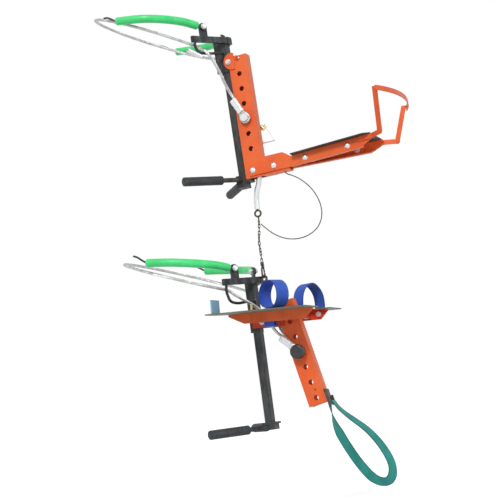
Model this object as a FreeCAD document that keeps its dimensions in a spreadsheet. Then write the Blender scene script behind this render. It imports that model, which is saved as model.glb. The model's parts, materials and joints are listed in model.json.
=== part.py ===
import FreeCAD, Part
import math
import os
import re
import Sketcher
from FreeCAD import Placement, Rotation, Vector

# A rope-and-lever climber for palm trunks: a seat unit above and a foot unit below, joined by a tether.
# The frame: origin on the trunk's axis, level with the seat unit's V-fork; X points away from the trunk,
# +Z runs up along it, and -Y is the near side. All sizes are in millimetres and degrees.

SIZES = {
    # Places of the two hinges, and how each frame leans about Y.
    "seat_pivot_x": 200.0,
    "seat_pivot_z": 320.0,
    "seat_tilt": -1.1,
    "foot_pivot_x": 198.0,
    "foot_pivot_z": -359.0,
    "arm_tilt": 3.5,
    "lever_lean": -12.0,
    # Square mast tube and the cheeks that carry the hinge bolt.
    "mast_side": 20.0,
    "mast_wall": 2.0,
    "upper_mast_offset": 10.3,
    "lower_mast_offset": 20.0,
    "cheek_wall": 3.0,
    "cheek_reach": 35.0,
    "cheek_drop": 24.0,
    "cheek_radius": 12.0,
    "bolt_clear": 9.0,
    # Yoke head on top of each mast.
    "upper_head_rise": 52.0,
    "lower_head_rise": 99.0,
    "head_height": 16.0,
    "head_nose": 8.0,
    "yoke_angle": 53.5,
    "yoke_length": 114.0,
    "yoke_bar": 8.0,
    "tab_start": 66.0,
    "tab_width": 22.0,
    "tab_wall": 5.0,
    "guide_bolt_rise": 25.0,
    # Round-bar hoops that the rope runs through.
    "hoop_radius": 3.5,
    "hoop_shift": 1.5,
    "hoop_end": 20.0,
    "hoop_tuck": 8.0,
    "guide_tube_radius": 6.0,
    "guide_tube_bore": 3.5,
    "guide_tube_length": 41.0,
    "guide_tube_back": 22.0,
    "guide_tube_drop": 9.1,
    "upper_hoop_drop": 30.0,
    "lower_hoop_drop": 47.0,
    # Foot block and V-fork.
    "block_width": 30.0,
    "block_length": 34.0,
    "mast_foot_rise": 11.3,
    "block_sole": 5.0,
    "block_toe": 6.0,
    "sole_gap": 1.0,
    "upper_block_height": 32.0,
    "lower_block_height": 19.0,
    "seat_fork_rise": 2.0,
    "lower_fork_drop": 262.0,
    "upper_fork_vertex": -2.0,
    "lower_fork_vertex": -10.0,
    "fork_angle": 51.5,
    "fork_length": 184.0,
    "fork_rod_radius": 6.0,
    "grip_length": 111.0,
    "grip_radius": 11.5,
    "grip_end": 4.0,
    "grip_fit": 0.3,
    # Guide rods, their hoses and bolts.
    "guide_rod_radius": 4.0,
    "guide_ring_radius": 174.0,
    "hose_radius": 10.5,
    "hose_fit": 0.3,
    "hook_radius": 2.5,
    "guide_eye_radius": 9.0,
    "guide_eye_wall": 4.0,
    "guide_neck": 4.0,
    "guide_overlap": 2.0,
    "hose_start": 4.0,
    # Wire rope.
    "rope_radius": 4.0,
    "rope_ring_radius": 158.0,
    "upper_rope_low": 368.0,
    "upper_rope_high": 512.0,
    "lower_rope_low": -268.0,
    "lower_rope_high": -152.0,
    # Hinge bolts and other bolts.
    "hinge_bolt_radius": 4.0,
    "running_fit": 0.05,
    "small_head_radius": 7.0,
    "small_head_height": 5.0,
    "arm_bolt_radius": 5.0,
    "arm_head_radius": 8.0,
    "arm_head_height": 5.0,
    "bolt_hole_fit": 0.3,
    "thread_end": 2.0,
    # The gap left between pieces that rest against each other, and round webbing.
    "rest_gap": 0.3,
    # Levers.
    "lever_width": 50.0,
    "lever_depth": 27.0,
    "lever_wall": 2.5,
    "lever_gap": 0.3,
    "seat_lever_top": 11.5,
    "seat_lever_drop": 313.0,
    "notch_width": 16.5,
    "notch_drop": 14.0,
    "ear_reach": 12.0,
    "ear_radius": 22.0,
    "ear_overlap": 17.0,
    "ear_wall": 3.0,
    "hole_radius": 6.5,
    "hole_pitch": 40.0,
    "seat_first_hole": 3.0,
    "seat_hole_count": 7,
    "seat_pin_hole": 5,
    "foot_lever_start": 44.5,
    "foot_lever_top": 28.0,
    "foot_lever_drop": 242.0,
    "foot_lever_cut": 16.0,
    "foot_first_hole": -25.0,
    "foot_hole_count": 6,
    "rivet_hole_radius": 3.0,
    "rivet_hole_rise": 19.0,
    "rivet_hole_shift": 4.0,
    "foot_pin_hole": 3,
    # Seat stub, arms, brackets and plate.
    "stub_height": 48.0,
    "stub_length": 71.0,
    "stub_cut_length": 14.0,
    "stub_cut_height": 11.0,
    "arm_height": 27.0,
    "arm_wall": 3.0,
    "arm_flange": 12.0,
    "arm_bottom_gap": 5.5,
    "arm_start": 12.0,
    "arm_angle": 8.9,
    "arm_length": 236.0,
    "arm_bevel_length": 34.0,
    "arm_bevel_height": 16.0,
    "inner_bolt_x": 22.0,
    "stub_bolt_x": 80.0,
    "first_bracket": 48.0,
    "second_bracket": 168.0,
    "bracket_width": 24.0,
    "plate_wall": 3.0,
    "seat_plate_start": 134.0,
    "seat_plate_end": 352.0,
    "seat_start_half": 35.0,
    "seat_end_half": 67.0,
    "seat_corner_length": 16.0,
    "seat_corner_width": 11.0,
    # Backrest of flat bar.
    "bar_width": 12.0,
    "bar_wall": 3.0,
    "back_lap": 34.0,
    "back_lap_round": 2.0,
    "back_bend_reach": 28.5,
    "back_bend_half": 77.0,
    "back_top_reach": 47.5,
    "back_top_half": 128.0,
    "back_top_z": -189.0,
    "back_bulge": 25.0,
    "band_overhang": 9.0,
    "band_gap": 0.2,
    # Rope pins, eyes and ferrules.
    "pin_radius": 6.25,
    "pin_head_radius": 10.0,
    "pin_head_height": 4.0,
    "pin_end": 24.0,
    "eye_wall": 9.0,
    "eye_radius": 15.0,
    "eye_gap": 3.6,
    "ferrule_gap": 3.0,
    "ferrule_lap": 1.0,
    "ferrule_shoulder": 2.0,
    "ferrule_length": 42.0,
    "ferrule_width": 20.0,
    "ferrule_depth": 12.0,
    "knob_radius": 18.0,
    "knob_height": 16.0,
    "knob_fillet": 5.0,
    "clip_overhang": 4.0,
    "clip_wall": 3.0,
    "seat_rope_lean": 25.0,
    "foot_rope_lean": 34.0,
    "tail_start": 20.0,
    "tail_end": 22.0,
    "linch_radius": 3.0,
    "linch_length": 26.0,
    "linch_place": 7.0,
    "linch_tail": 4.0,
    "linch_head_radius": 6.0,
    "linch_head_length": 12.0,
    "bail_wire": 1.5,
    "bail_fit": 0.1,
    "bail_drop": 40.0,
    "bail_offset": 4.0,
    "bail_shoulder": 11.0,
    "bail_half": 16.0,
    # Foot stub, arms, bars and plates.
    "foot_stub_height": 30.0,
    "foot_stub_tail": 26.0,
    "foot_stub_gap": 3.0,
    "foot_stub_web_end": 4.0,
    "foot_arm_top": 21.0,
    "foot_arm_height": 25.0,
    "foot_arm_start": -64.0,
    "foot_arm_end": 151.0,
    "foot_arm_half": 70.0,
    "foot_arm_angle": 4.6,
    "foot_arm_bevel": 40.0,
    "foot_plate_start": -95.0,
    "foot_plate_end": 162.0,
    "foot_plate_inner": 40.0,
    "foot_plate_outer": 135.0,
    "foot_toe_outer": 150.0,
    "foot_toe_inner": 109.0,
    "foot_heel_x": -43.0,
    "foot_heel_inner": 55.0,
    "foot_arm_edge": 2.0,
    "end_bolt_rise": 1.0,
    "bar_height": 20.0,
    "rear_bar_height": 17.0,
    "front_bar_x": -24.0,
    "rear_bar_drop": 9.5,
    "bar_thickness": 5.0,
    "first_strap_bolt": -5.0,
    "second_strap_bolt": 38.0,
    "strap_bolt_radius": 3.0,
    "strap_bolt_rise": 20.0,
    "strap_bolt_tail": 6.0,
    "strap_nut_radius": 5.5,
    "strap_nut_height": 4.0,
    "end_bolt_x": 127.0,
    "toe_step": 5.0,
    "toe_stop_x": -79.0,
    "toe_stop_inner": 100.0,
    "toe_stop_width": 48.0,
    "toe_stop_height": 34.0,
    # Straps.
    "strap_width": 38.0,
    "strap_wall": 3.0,
    "pull_width": 25.0,
    "pull_wall": 2.5,
    "wrap_width": 26.0,
    "wrap_x": 38.0,
    "wrap_inner": 13.0,
    "wrap_outer": 6.3,
    "wrap_drop": 11.0,
    "fitting_wall": 3.0,
    "fitting_height": 30.0,
    "fitting_lug_reach": 9.0,
    "fitting_lug_half": 12.0,
    "fitting_bar": 3.0,
    "fitting_bar_reach": 4.0,
    "fitting_bar_drop": 7.0,
    "fitting_side_gap": 0.6,
    # Tether.
    "tether_x": 32.0,
    "lug_end": 10.0,
    "lug_wall": 6.0,
    "lug_half": 8.0,
    "sleeve_radius": 7.0,
    "chain_radius": 3.5,
    "ring_wire": 2.5,
    "ring_radius": 8.0,
    "link_gap": 0.2,
    "wire_radius": 1.5,
    "wire_exit_x": 103.0,
    "wire_drop": 5.0,
    # Snap hook and its lug on the foot unit's yoke head.
    "snap_reach": 15.0,
    "snap_length": 42.0,
    "snap_wire": 2.3,
    "snap_half": 8.5,
    "snap_mouth": 12.0,
    "snap_shoulder": 8.0,
    "snap_barrel_radius": 4.5,
    "snap_barrel_height": 10.0,
    "snap_lug_drop": 6.0,
    "snap_lug_wall": 5.0,
    "snap_lug_radius": 9.0,
    "snap_lug_hole": 5.0,
    "gate_radius": 2.0,
    "gate_offset": 3.3,
    "gate_drop": 2.4,
    "gate_gap": 0.9,
}

doc = FreeCAD.newDocument("TreeClimber")
sheet = doc.addObject("Spreadsheet::Sheet", "Sizes")
for row, (alias, value) in enumerate(SIZES.items(), start=1):
    sheet.set(f"A{row}", alias)
    sheet.set(f"B{row}", str(value))
    sheet.setAlias(f"B{row}", alias)
doc.recompute()

NEAR = -1
FAR = 1
SIDES = (NEAR, FAR)
SIDE_WORD = {NEAR: "near", FAR: "far"}
sub_parts = []
ALIAS = re.compile(r"[a-z_]+[a-z]")
WORK_CELL = "D1"


def size(alias):
    """The value of one cell of the sheet."""
    return float(sheet.get(alias))


def formula(text):
    """Turn the aliases in a formula into references to the sheet."""
    def reference(found):
        word = found.group()
        return "Sizes." + word if word in SIZES else word

    return ALIAS.sub(reference, str(text))


def value_of(text):
    """Work a formula out from the sheet's present values."""
    sheet.set(WORK_CELL, f"={text}")
    sheet.recompute()
    return float(sheet.get(WORK_CELL))


def bind(part, **properties):
    """Bind properties of a part to formulas; a double underscore stands for a dot."""
    for name, text in properties.items():
        part.setExpression(name.replace("__", "."), formula(text))
    return part


def move(part, x=0, y=0, z=0):
    return bind(part, Placement__Base__x=x, Placement__Base__y=y, Placement__Base__z=z)


def turn(part, axis, angle):
    """Turn a part about an axis by a formula's angle."""
    part.Placement = Placement(part.Placement.Base, Rotation(axis, value_of(angle)))
    return bind(part, Placement__Rotation__Angle=angle)


def block(name, x, y, z):
    """A box between two formulas along each axis."""
    part = doc.addObject("Part::Box", name)
    bind(part, Length=f"({x[1]}) - ({x[0]})", Width=f"({y[1]}) - ({y[0]})", Height=f"({z[1]}) - ({z[0]})")
    return move(part, x[0], y[0], z[0])


ALONG = {
    "x": Rotation(Vector(0, 1, 0), 90),
    "y": Rotation(Vector(1, 0, 0), -90),
    "z": Rotation(),
}


def bar(name, along, radius, start, length):
    """A round bar along one axis from a start point."""
    part = doc.addObject("Part::Cylinder", name)
    bind(part, Radius=radius, Height=length)
    part.Placement = Placement(Vector(), ALONG[along])
    return move(part, *start)


def cut(name, base, *tools):
    for count, tool in enumerate(tools, start=1):
        part = doc.addObject("Part::Cut", name if count == len(tools) else f"{name}_step{count}")
        part.Base = base
        part.Tool = tool
        base = part
    return base


def fuse(name, *pieces):
    part = doc.addObject("Part::MultiFuse", name)
    part.Shapes = list(pieces)
    part.Refine = True
    return part


def group(name, *pieces):
    part = doc.addObject("Part::Compound", name)
    part.Links = list(pieces)
    return part


def plate(name, outline, wall, plane="XY_Plane"):
    """A flat plate padded both ways from a sketch whose corners are bound to formulas."""
    body = doc.addObject("PartDesign::Body", name)
    sketch = body.newObject("Sketcher::SketchObject", name + "_outline")
    origin_plane = [item for item in body.Origin.OriginFeatures if item.Role == plane][0]
    sketch.AttachmentSupport = [(origin_plane, "")]
    sketch.MapMode = "FlatFace"
    corners = [Vector(value_of(x), value_of(y), 0) for x, y in outline]
    count = len(corners)
    for index in range(count):
        sketch.addGeometry(Part.LineSegment(corners[index], corners[(index + 1) % count]))
    for index, (x, y) in enumerate(outline):
        sketch.addConstraint(Sketcher.Constraint("Coincident", index, 1, (index - 1) % count, 2))
        for kind, text, number in (("DistanceX", x, corners[index].x), ("DistanceY", y, corners[index].y)):
            made = sketch.addConstraint(Sketcher.Constraint(kind, -1, 1, index, 1, number))
            sketch.setExpression(f"Constraints[{made}]", formula(text))
    pad = body.newObject("PartDesign::Pad", name + "_pad")
    pad.Profile = sketch
    pad.Midplane = True
    bind(pad, Length=wall)
    sketch.Visibility = False
    return body


def solid(name, shape):
    """A sub-part, or part of one, whose shape comes from the sheet's values in code."""
    part = doc.addObject("Part::Feature", name)
    part.Shape = shape
    return part


def finish(part, label, frame=None):
    """Register a finished sub-part, in its frame."""
    part.Label = label
    if frame:
        frame(part)
    sub_parts.append(part)
    return part


def seat_frame(part):
    turn(part, Vector(0, 1, 0), "seat_tilt")
    return move(part, "seat_pivot_x", 0, "seat_pivot_z")


def lower_frame(part):
    return move(part, "foot_pivot_x", 0, "foot_pivot_z")


def foot_frame(part):
    turn(part, Vector(0, 1, 0), "arm_tilt")
    return lower_frame(part)


def lever_frame(part):
    turn(part, Vector(0, 1, 0), "lever_lean")
    return lower_frame(part)


FRAMES = {"upper": seat_frame, "lower": lower_frame}
# The seat unit's fork lies level with the foot of its lever; the foot unit's lies under its hinge.
FORK_DROP = {"upper": "(seat_lever_drop - seat_fork_rise)", "lower": "lower_fork_drop"}


def direction(angle_from_inboard, side):
    """A level unit vector at an angle from -X, towards one side."""
    angle = math.radians(angle_from_inboard)
    return Vector(-math.cos(angle), side * math.sin(angle), 0)


def cylinder_between(radius, start, end):
    along = end - start
    return Part.makeCylinder(radius, along.Length, start, along)


def strip(start, end, across, width, wall):
    """A straight piece of flat bar between two points, its width along a given direction."""
    along = (end - start).normalize()
    across = (across - along * across.dot(along)).normalize()
    normal = along.cross(across)
    corner = start - across * (width / 2) - normal * (wall / 2)
    side = across * width
    rise = normal * wall
    corners = [corner, corner + side, corner + side + rise, corner + rise]
    return Part.Face(Part.makePolygon(corners + corners[:1])).extrude(end - start)


def rounded_path(points, share=0.45, closed=False):
    """Straight runs joined by tangent arcs, each as large as its two runs allow."""
    edges = []
    radii = []
    count = len(points)
    inner = range(count) if closed else range(1, count - 1)
    begins = {}
    ends = {}
    for index in inner:
        here = points[index]
        back = points[index - 1] - here
        ahead = points[(index + 1) % count] - here
        reach = share * min(back.Length, ahead.Length)
        turn_angle = math.pi - back.getAngle(ahead)
        radii.append(reach / math.tan(turn_angle / 2))
        start = here + back.normalize() * reach
        end = here + ahead.normalize() * reach
        bisector = (back + ahead).normalize()
        radius = radii[-1]
        centre = here + bisector * math.hypot(radius, reach)
        middle = centre - bisector * radius
        begins[index] = start
        ends[index] = end
        edges.append((index, Part.Arc(start, middle, end).toShape()))
    ordered = []
    last = points[0] if not closed else ends[count - 1]
    for index, arc in edges:
        ordered.append(Part.LineSegment(last, begins[index]).toShape())
        ordered.append(arc)
        last = ends[index]
    if not closed:
        ordered.append(Part.LineSegment(last, points[-1]).toShape())
    return Part.Wire(ordered), radii


def tube(points, radius, name="", bore=0.0):
    """A round tube along a rounded path; prints its smallest arc and its volume over section times length."""
    wire, radii = rounded_path(points)
    start = points[0]
    along = points[1] - points[0]
    profile = Part.Wire(Part.Circle(start, along, radius).toShape())
    shape = wire.makePipeShell([profile], True, False)
    expected = math.pi * radius ** 2 * wire.Length
    if name:
        print(f"{name}: length {wire.Length:.0f} mm, smallest arc {min(radii):.0f} mm,"
              f" volume ratio {shape.Volume / expected:.4f}")
    if bore:
        hollow = wire.makePipeShell([Part.Wire(Part.Circle(start, along, bore).toShape())], True, False)
        shape = shape.cut(hollow)
    return shape


def mirrored(shape):
    """The same shape on the far side."""
    return shape.mirror(Vector(), Vector(0, 1, 0))


# The mast, cheeks, yoke head, foot block and fork are alike in both units.
def make_unit(unit):
    frame = FRAMES[unit]
    offset = f"{unit}_mast_offset"
    rise = f"{unit}_head_rise"
    drop = FORK_DROP[unit]
    mast_x = (f"-{offset} - mast_side / 2", f"-{offset} + mast_side / 2")
    mast_y = ("-mast_side / 2", "mast_side / 2")
    mast_z = (f"-{drop} + mast_foot_rise", rise)

    outer = block(f"{unit}_mast_outer", mast_x, mast_y, mast_z)
    inner = block(
        f"{unit}_mast_bore",
        (f"-{offset} - mast_side / 2 + mast_wall", f"-{offset} + mast_side / 2 - mast_wall"),
        ("-mast_side / 2 + mast_wall", "mast_side / 2 - mast_wall"),
        (mast_z[0], rise),
    )
    notch = bar(f"{unit}_mast_notch", "y", "bolt_clear", (0, "-mast_side", 0), "mast_side * 2")
    mast = cut(f"{unit}_mast_tube", outer, inner, notch)

    cheeks = []
    for side in SIDES:
        word = SIDE_WORD[side]
        inside = "mast_side / 2" if side == FAR else "-mast_side / 2 - cheek_wall"
        span = (inside, f"{inside} + cheek_wall")
        upright = block(
            f"{unit}_{word}_cheek_plate",
            ("-cheek_reach", f"-{offset} + mast_side / 2"),
            span,
            ("-cheek_drop", rise),
        )
        boss = bar(f"{unit}_{word}_cheek_boss", "y", "cheek_radius", (0, inside, 0), "cheek_wall")
        hole = bar(f"{unit}_{word}_cheek_hole", "y", "hinge_bolt_radius + running_fit", (0, inside, 0),
                   "cheek_wall")
        neck = block(
            f"{unit}_{word}_cheek_neck",
            (f"-{offset}", 0),
            span,
            ("-cheek_radius", "cheek_radius"),
        )
        joined = fuse(f"{unit}_{word}_cheek_blank", upright, boss, neck)
        cheeks.append(cut(f"{unit}_{word}_cheek", joined, hole))
    finish(group(f"{unit}_mast_shape", mast, *cheeks), f"{unit}_mast", frame)

    make_yoke(unit, frame)
    make_foot(unit, frame)
    make_hinge_bolt(unit, frame)


def yoke_point(unit, along, side, level=0.0, outward=0.0):
    """A point of one yoke bar, by its distance from the nose, its height above the head and its offset."""
    forward = direction(size("yoke_angle"), side)
    normal = Vector(forward.y * side, -forward.x * side, 0)
    nose = Vector(size("head_nose"), 0, size(f"{unit}_head_rise") + level)
    return nose + forward * along + normal * outward


def yoke_box(unit, side, along, thickness, level):
    """A box in a yoke bar's own directions."""
    corners = []
    start, stop = along
    low, high = thickness
    for distance, offset in ((start, low), (stop, low), (stop, high), (start, high)):
        corners.append(yoke_point(unit, distance, side, level[0], offset))
    face = Part.Face(Part.makePolygon(corners + corners[:1]))
    return face.extrude(Vector(0, 0, level[1] - level[0]))


def snap_eye():
    """The middle of the eye for the snap hook, in the foot unit's frame."""
    level = size("lower_head_rise") + size("head_height") - size("snap_lug_drop")
    return Vector(size("snap_reach"), 0, level)


def snap_lug():
    """A tongue from the yoke's nose with a round end."""
    wall = size("snap_lug_wall")
    eye = snap_eye()
    start = size("head_nose") - 1
    drop = size("snap_lug_drop")
    tongue = Part.makeBox(eye.x - start, wall, 2 * drop, Vector(start, -wall / 2, eye.z - drop))
    ring = Part.makeCylinder(size("snap_lug_radius"), wall, eye - Vector(0, wall / 2, 0), Vector(0, 1, 0))
    return [tongue, ring]


def make_yoke(unit, frame):
    half_bar = size("yoke_bar") / 2
    height = size("head_height")
    tab_start = size("tab_start")
    tab_width = size("tab_width")
    tab_wall = size("tab_wall")
    bolt_radius = size("hinge_bolt_radius")
    bolt_level = height + size("guide_bolt_rise")
    tab_middle = tab_start + tab_width / 2
    pieces = []
    holes = []
    bolts = []
    eyes = []
    for side in SIDES:
        pieces.append(yoke_box(unit, side, (0, size("yoke_length")), (-half_bar, half_bar), (0, height)))
        pieces.append(
            yoke_box(unit, side, (tab_start, tab_start + tab_width), (-tab_wall / 2, tab_wall / 2),
                     (height, bolt_level))
        )
        inner_end = yoke_point(unit, tab_middle, side, bolt_level, -tab_wall / 2)
        outer_end = yoke_point(unit, tab_middle, side, bolt_level, tab_wall / 2)
        pieces.append(cylinder_between(tab_width / 2, inner_end, outer_end))
        out = (outer_end - inner_end).normalize()
        fit = size("bolt_hole_fit")
        beyond = out * tab_wall
        holes.append(cylinder_between(bolt_radius + fit, inner_end - beyond, outer_end + beyond))
        eye_end = outer_end + out * size("guide_eye_wall")
        head = size("small_head_height")
        bolts.append(
            cylinder_between(bolt_radius, inner_end - out * (head + size("thread_end")), eye_end + out * head)
            .fuse(cylinder_between(size("small_head_radius"), eye_end, eye_end + out * head))
            .fuse(cylinder_between(size("small_head_radius"), inner_end - out * head, inner_end))
        )
        eyes.append((outer_end, out))
    reach = size("cheek_reach")
    half = size("mast_side") / 2 + size("cheek_wall")
    rise = size(f"{unit}_head_rise")
    pieces.append(Part.makeBox(reach + size("head_nose"), half * 2, height, Vector(-reach, -half, rise)))
    if unit == "lower":
        pieces.extend(snap_lug())
        holes.append(Part.makeCylinder(size("snap_lug_hole"), 4 * half, snap_eye() - Vector(0, 2 * half, 0),
                                       Vector(0, 1, 0)))
    yoke = pieces[0].multiFuse(pieces[1:]).removeSplitter()
    yoke = yoke.cut(Part.makeCompound(holes))
    finish(solid(f"{unit}_yoke_shape", yoke), f"{unit}_yoke", frame)
    finish(solid(f"{unit}_guide_bolt_shape", Part.makeCompound(bolts)), f"{unit}_guide_bolts", frame)
    make_hoops(unit, frame, yoke)
    make_guides(unit, frame, eyes)


# Corners of a hoop: how far each lies from the yoke bar's tip, and its share of the hoop's drop.
HOOP_BENDS = ((8, 0), (6, 0.35), (13, 0.9), (34, 1.02), (80, 0.92))
HOOP_END_SHARE = 0.86
# The guide tubes lean outward and up from the hoops, by these shares along -X, outward and up.
GUIDE_TUBE_LEAN = (0.56, 0.70, 0.44)


def make_hoops(unit, frame, yoke):
    """Hairpins of round bar from the yoke's underside round to the cheeks."""
    radius = size("hoop_radius")
    drop = size(f"{unit}_hoop_drop")
    length = size("yoke_length")
    half = size("mast_side") / 2 + size("cheek_wall")
    shift = size("hoop_shift")
    hoops = []
    tubes = []
    for side in SIDES:
        route = [yoke_point(unit, length - back, side, -share * drop, shift) for back, share in HOOP_BENDS]
        inner = yoke_point(unit, size("hoop_end"), side, -HOOP_END_SHARE * drop)
        route.append(Vector(inner.x - size("hoop_tuck"), side * (half - 1), inner.z))
        hoop = tube(route, radius, f"{unit} hoop")
        blank = Part.makeBox(200, 2 * half, 400, Vector(-150, -half, -200))
        hoops.append(hoop.cut(blank).cut(yoke))
        toe = yoke_point(unit, length - size("guide_tube_back"), side, -drop - size("guide_tube_drop"))
        back, out, up = GUIDE_TUBE_LEAN
        away = Vector(-back, side * out, up).normalize() * size("guide_tube_length")
        guide = cylinder_between(size("guide_tube_radius"), toe, toe + away)
        guide = guide.cut(cylinder_between(size("guide_tube_bore"), toe, toe + away))
        tubes.append(guide.cut(hoops[-1]))
    finish(solid(f"{unit}_hoop_shape", Part.makeCompound(hoops)), f"{unit}_hoops", frame)
    if unit == "upper":
        finish(solid("upper_guide_tube_shape", Part.makeCompound(tubes)), "upper_guide_tubes", frame)


# Points of a guide rod: angle round the trunk and rise above its bolt. Those of the hook at its end are
# distances back, inward and up.
GUIDE_TURNS = ((36, 8), (50, 15), (64, 22), (79, 30), (98, 38))
HOOK_POINTS = ((13, 1, 9), (28, 8, 20), (44, 20, 26))


def make_guides(unit, frame, eyes):
    """Guide rods bent round the trunk, with a hose over each and a wire hook at its end."""
    ring = size("guide_ring_radius")
    rod = size("guide_rod_radius")
    wall = size("guide_eye_wall")
    shift_x = size("seat_pivot_x" if unit == "upper" else "foot_pivot_x")
    rods = []
    hoses = []
    for side, (eye, out) in zip(SIDES, eyes):
        centre = eye + out * (wall / 2)
        forward = direction(size("yoke_angle"), side)
        neck = size("tab_width") / 2 + size("guide_neck")
        flat = cylinder_between(size("guide_eye_radius"), eye, eye + out * wall)
        flat = flat.fuse(strip(centre, centre + forward * neck, Vector(0, 0, 1), 2 * rod, wall))
        drill = cylinder_between(size("hinge_bolt_radius") + size("bolt_hole_fit"), eye - out * wall,
                                 eye + out * 2 * wall)
        route = [centre + forward * (neck - size("guide_overlap"))]
        for angle, lift in GUIDE_TURNS:
            turned = math.radians(angle)
            x = ring * math.cos(turned) - shift_x
            route.append(Vector(x, side * ring * math.sin(turned), centre.z + lift))
        shaft = tube(route, rod, f"{unit} guide rod")
        last = route[-1]
        hook = tube([last] + [last + Vector(-back, -side * inward, up) for back, inward, up in HOOK_POINTS],
                    size("hook_radius"))
        rods.append(shaft.fuse(flat.cut(drill)).fuse(hook).removeSplitter())
        hose_start = route[0] + (route[1] - route[0]).normalize() * size("hose_start")
        hoses.append(tube([hose_start] + route[1:], size("hose_radius"), "", rod + size("hose_fit")))
    finish(solid(f"{unit}_guide_rod_shape", Part.makeCompound(rods)), f"{unit}_guide_rods", frame)
    finish(solid(f"{unit}_guide_hose_shape", Part.makeCompound(hoses)), f"{unit}_guide_hoses", frame)


def tether_lug_top():
    return -value_of(FORK_DROP["upper"]) + size("mast_foot_rise") - size("block_sole")


def tether_lug(start_x):
    """A tongue under the seat lever that carries the tether's sleeve."""
    half = size("lug_half")
    wall = size("lug_wall")
    reach = size("tether_x") + size("lug_end")
    return Part.makeBox(reach - start_x, 2 * half, wall, Vector(start_x, -half, tether_lug_top() - wall))


def make_foot(unit, frame):
    """The block under the mast, with the two fork rods and their rubber grips."""
    drop = value_of(FORK_DROP[unit])
    vertex = Vector(size(f"{unit}_fork_vertex"), 0, -drop)
    centre_x = -size(f"{unit}_mast_offset")
    length = size("block_length")
    width = size("block_width")
    mast_foot = -drop + size("mast_foot_rise")
    height = size(f"{unit}_block_height")
    left = centre_x - length / 2
    right = min(centre_x + length / 2, -2 * size("lever_gap"))
    base = Part.makeBox(right - left, width, height, Vector(left, -width / 2, mast_foot - height))
    sole = size("block_sole")
    sole_top = -size("seat_lever_drop") - size("sole_gap") if unit == "upper" else mast_foot
    toe = Part.makeBox(length + size("block_toe"), width, sole, Vector(left, -width / 2, sole_top - sole))
    base = base.fuse(toe).removeSplitter()
    if unit == "upper":
        base = base.fuse(tether_lug(centre_x)).removeSplitter()
    finish(solid(f"{unit}_block_shape", base), f"{unit}_foot_block", frame)
    rods = []
    grips = []
    rod_radius = size("fork_rod_radius")
    fork = size("fork_length")
    start = fork - size("grip_length")
    fit = size("grip_fit")
    for side in SIDES:
        along = direction(size("fork_angle"), side)
        shaft = cylinder_between(rod_radius, vertex, vertex + along * (fork - size("grip_end")))
        rods.append(shaft.cut(base))
        grip = cylinder_between(size("grip_radius"), vertex + along * start, vertex + along * fork)
        bore = cylinder_between(rod_radius + fit, vertex + along * start,
                                vertex + along * (fork - size("grip_end") + fit))
        grips.append(grip.cut(bore))
    finish(solid(f"{unit}_fork_rod_shape", Part.makeCompound(rods)), f"{unit}_fork_rods", frame)
    finish(solid(f"{unit}_fork_grip_shape", Part.makeCompound(grips)), f"{unit}_fork_grips", frame)


def make_hinge_bolt(unit, frame):
    outside = "lever_depth / 2 + ear_wall + running_fit"
    shank = bar(f"{unit}_hinge_shank", "y", "hinge_bolt_radius",
                (0, f"-({outside}) - small_head_height", 0),
                f"2 * ({outside}) + small_head_height * 2 + thread_end")
    head = bar(f"{unit}_hinge_head", "y", "small_head_radius",
               (0, f"-({outside}) - small_head_height", 0), "small_head_height")
    nut = bar(f"{unit}_hinge_nut", "y", "small_head_radius", (0, outside, 0), "small_head_height")
    name = "seat_hinge_bolt" if unit == "upper" else "foot_hinge_bolt"
    finish(fuse(f"{name}_shape", shank, head, nut), name, frame)


make_unit("upper")
make_unit("lower")


# Wire rope: one loop round the trunk in each unit, and two tails from it to the pin on the lever.
def world_of(unit, point):
    """A point of a unit's frame, in the part's own frame."""
    if unit == "upper":
        frame = Placement(Vector(size("seat_pivot_x"), 0, size("seat_pivot_z")),
                          Rotation(Vector(0, 1, 0), size("seat_tilt")))
    else:
        frame = Placement(Vector(size("foot_pivot_x"), 0, size("foot_pivot_z")), Rotation())
    return frame.multVec(point)


ROPE_START = {}
# A rope loop starts and ends at this angle from +X. Its corners stand out so that its arcs keep the radius.
LOOP_START = 33.4
LOOP_STEPS = 12
LOOP_SWELL = 1.019


def make_rope_loop(unit):
    low = size(f"{unit}_rope_low")
    high = size(f"{unit}_rope_high")
    ring = size("rope_ring_radius")
    start_x = ring * math.cos(math.radians(LOOP_START))
    points = []
    for index in range(LOOP_STEPS + 1):
        angle = math.radians(LOOP_START + (360 - 2 * LOOP_START) * index / LOOP_STEPS)
        grown = ring if index in (0, LOOP_STEPS) else ring * LOOP_SWELL
        x = grown * math.cos(angle)
        level = low + (high - low) * (start_x - x) / (start_x + ring)
        points.append(Vector(x, -grown * math.sin(angle), level))
    ROPE_START[unit] = points[0]
    ROPE_START[unit, "along"] = (points[0] - points[1]).normalize()
    loop = tube(points, size("rope_radius"), f"{unit} rope loop")
    finish(solid(f"{unit}_rope_shape", loop), f"{unit}_rope_loop")


make_rope_loop("upper")
make_rope_loop("lower")


# The levers: channels open towards the mast, with ears for the hinge and a row of pin holes.
def make_channel(name, start, top, drop):
    outer = block(
        f"{name}_outer",
        (start, f"{start} + lever_width"),
        ("-lever_depth / 2", "lever_depth / 2"),
        (f"-{drop}", top),
    )
    inner = block(
        f"{name}_inner",
        (start, f"{start} + lever_width - lever_wall"),
        ("-lever_depth / 2 + lever_wall", "lever_depth / 2 - lever_wall"),
        (f"-{drop}", top),
    )
    return cut(f"{name}_channel", outer, inner)


def pin_hole_height(first, index):
    return f"{first} - {index - 1} * hole_pitch"


SEAT_HOLE_X = "(lever_gap + lever_width / 2)"
FOOT_HOLE_X = "(foot_lever_start + lever_width / 2)"

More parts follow.
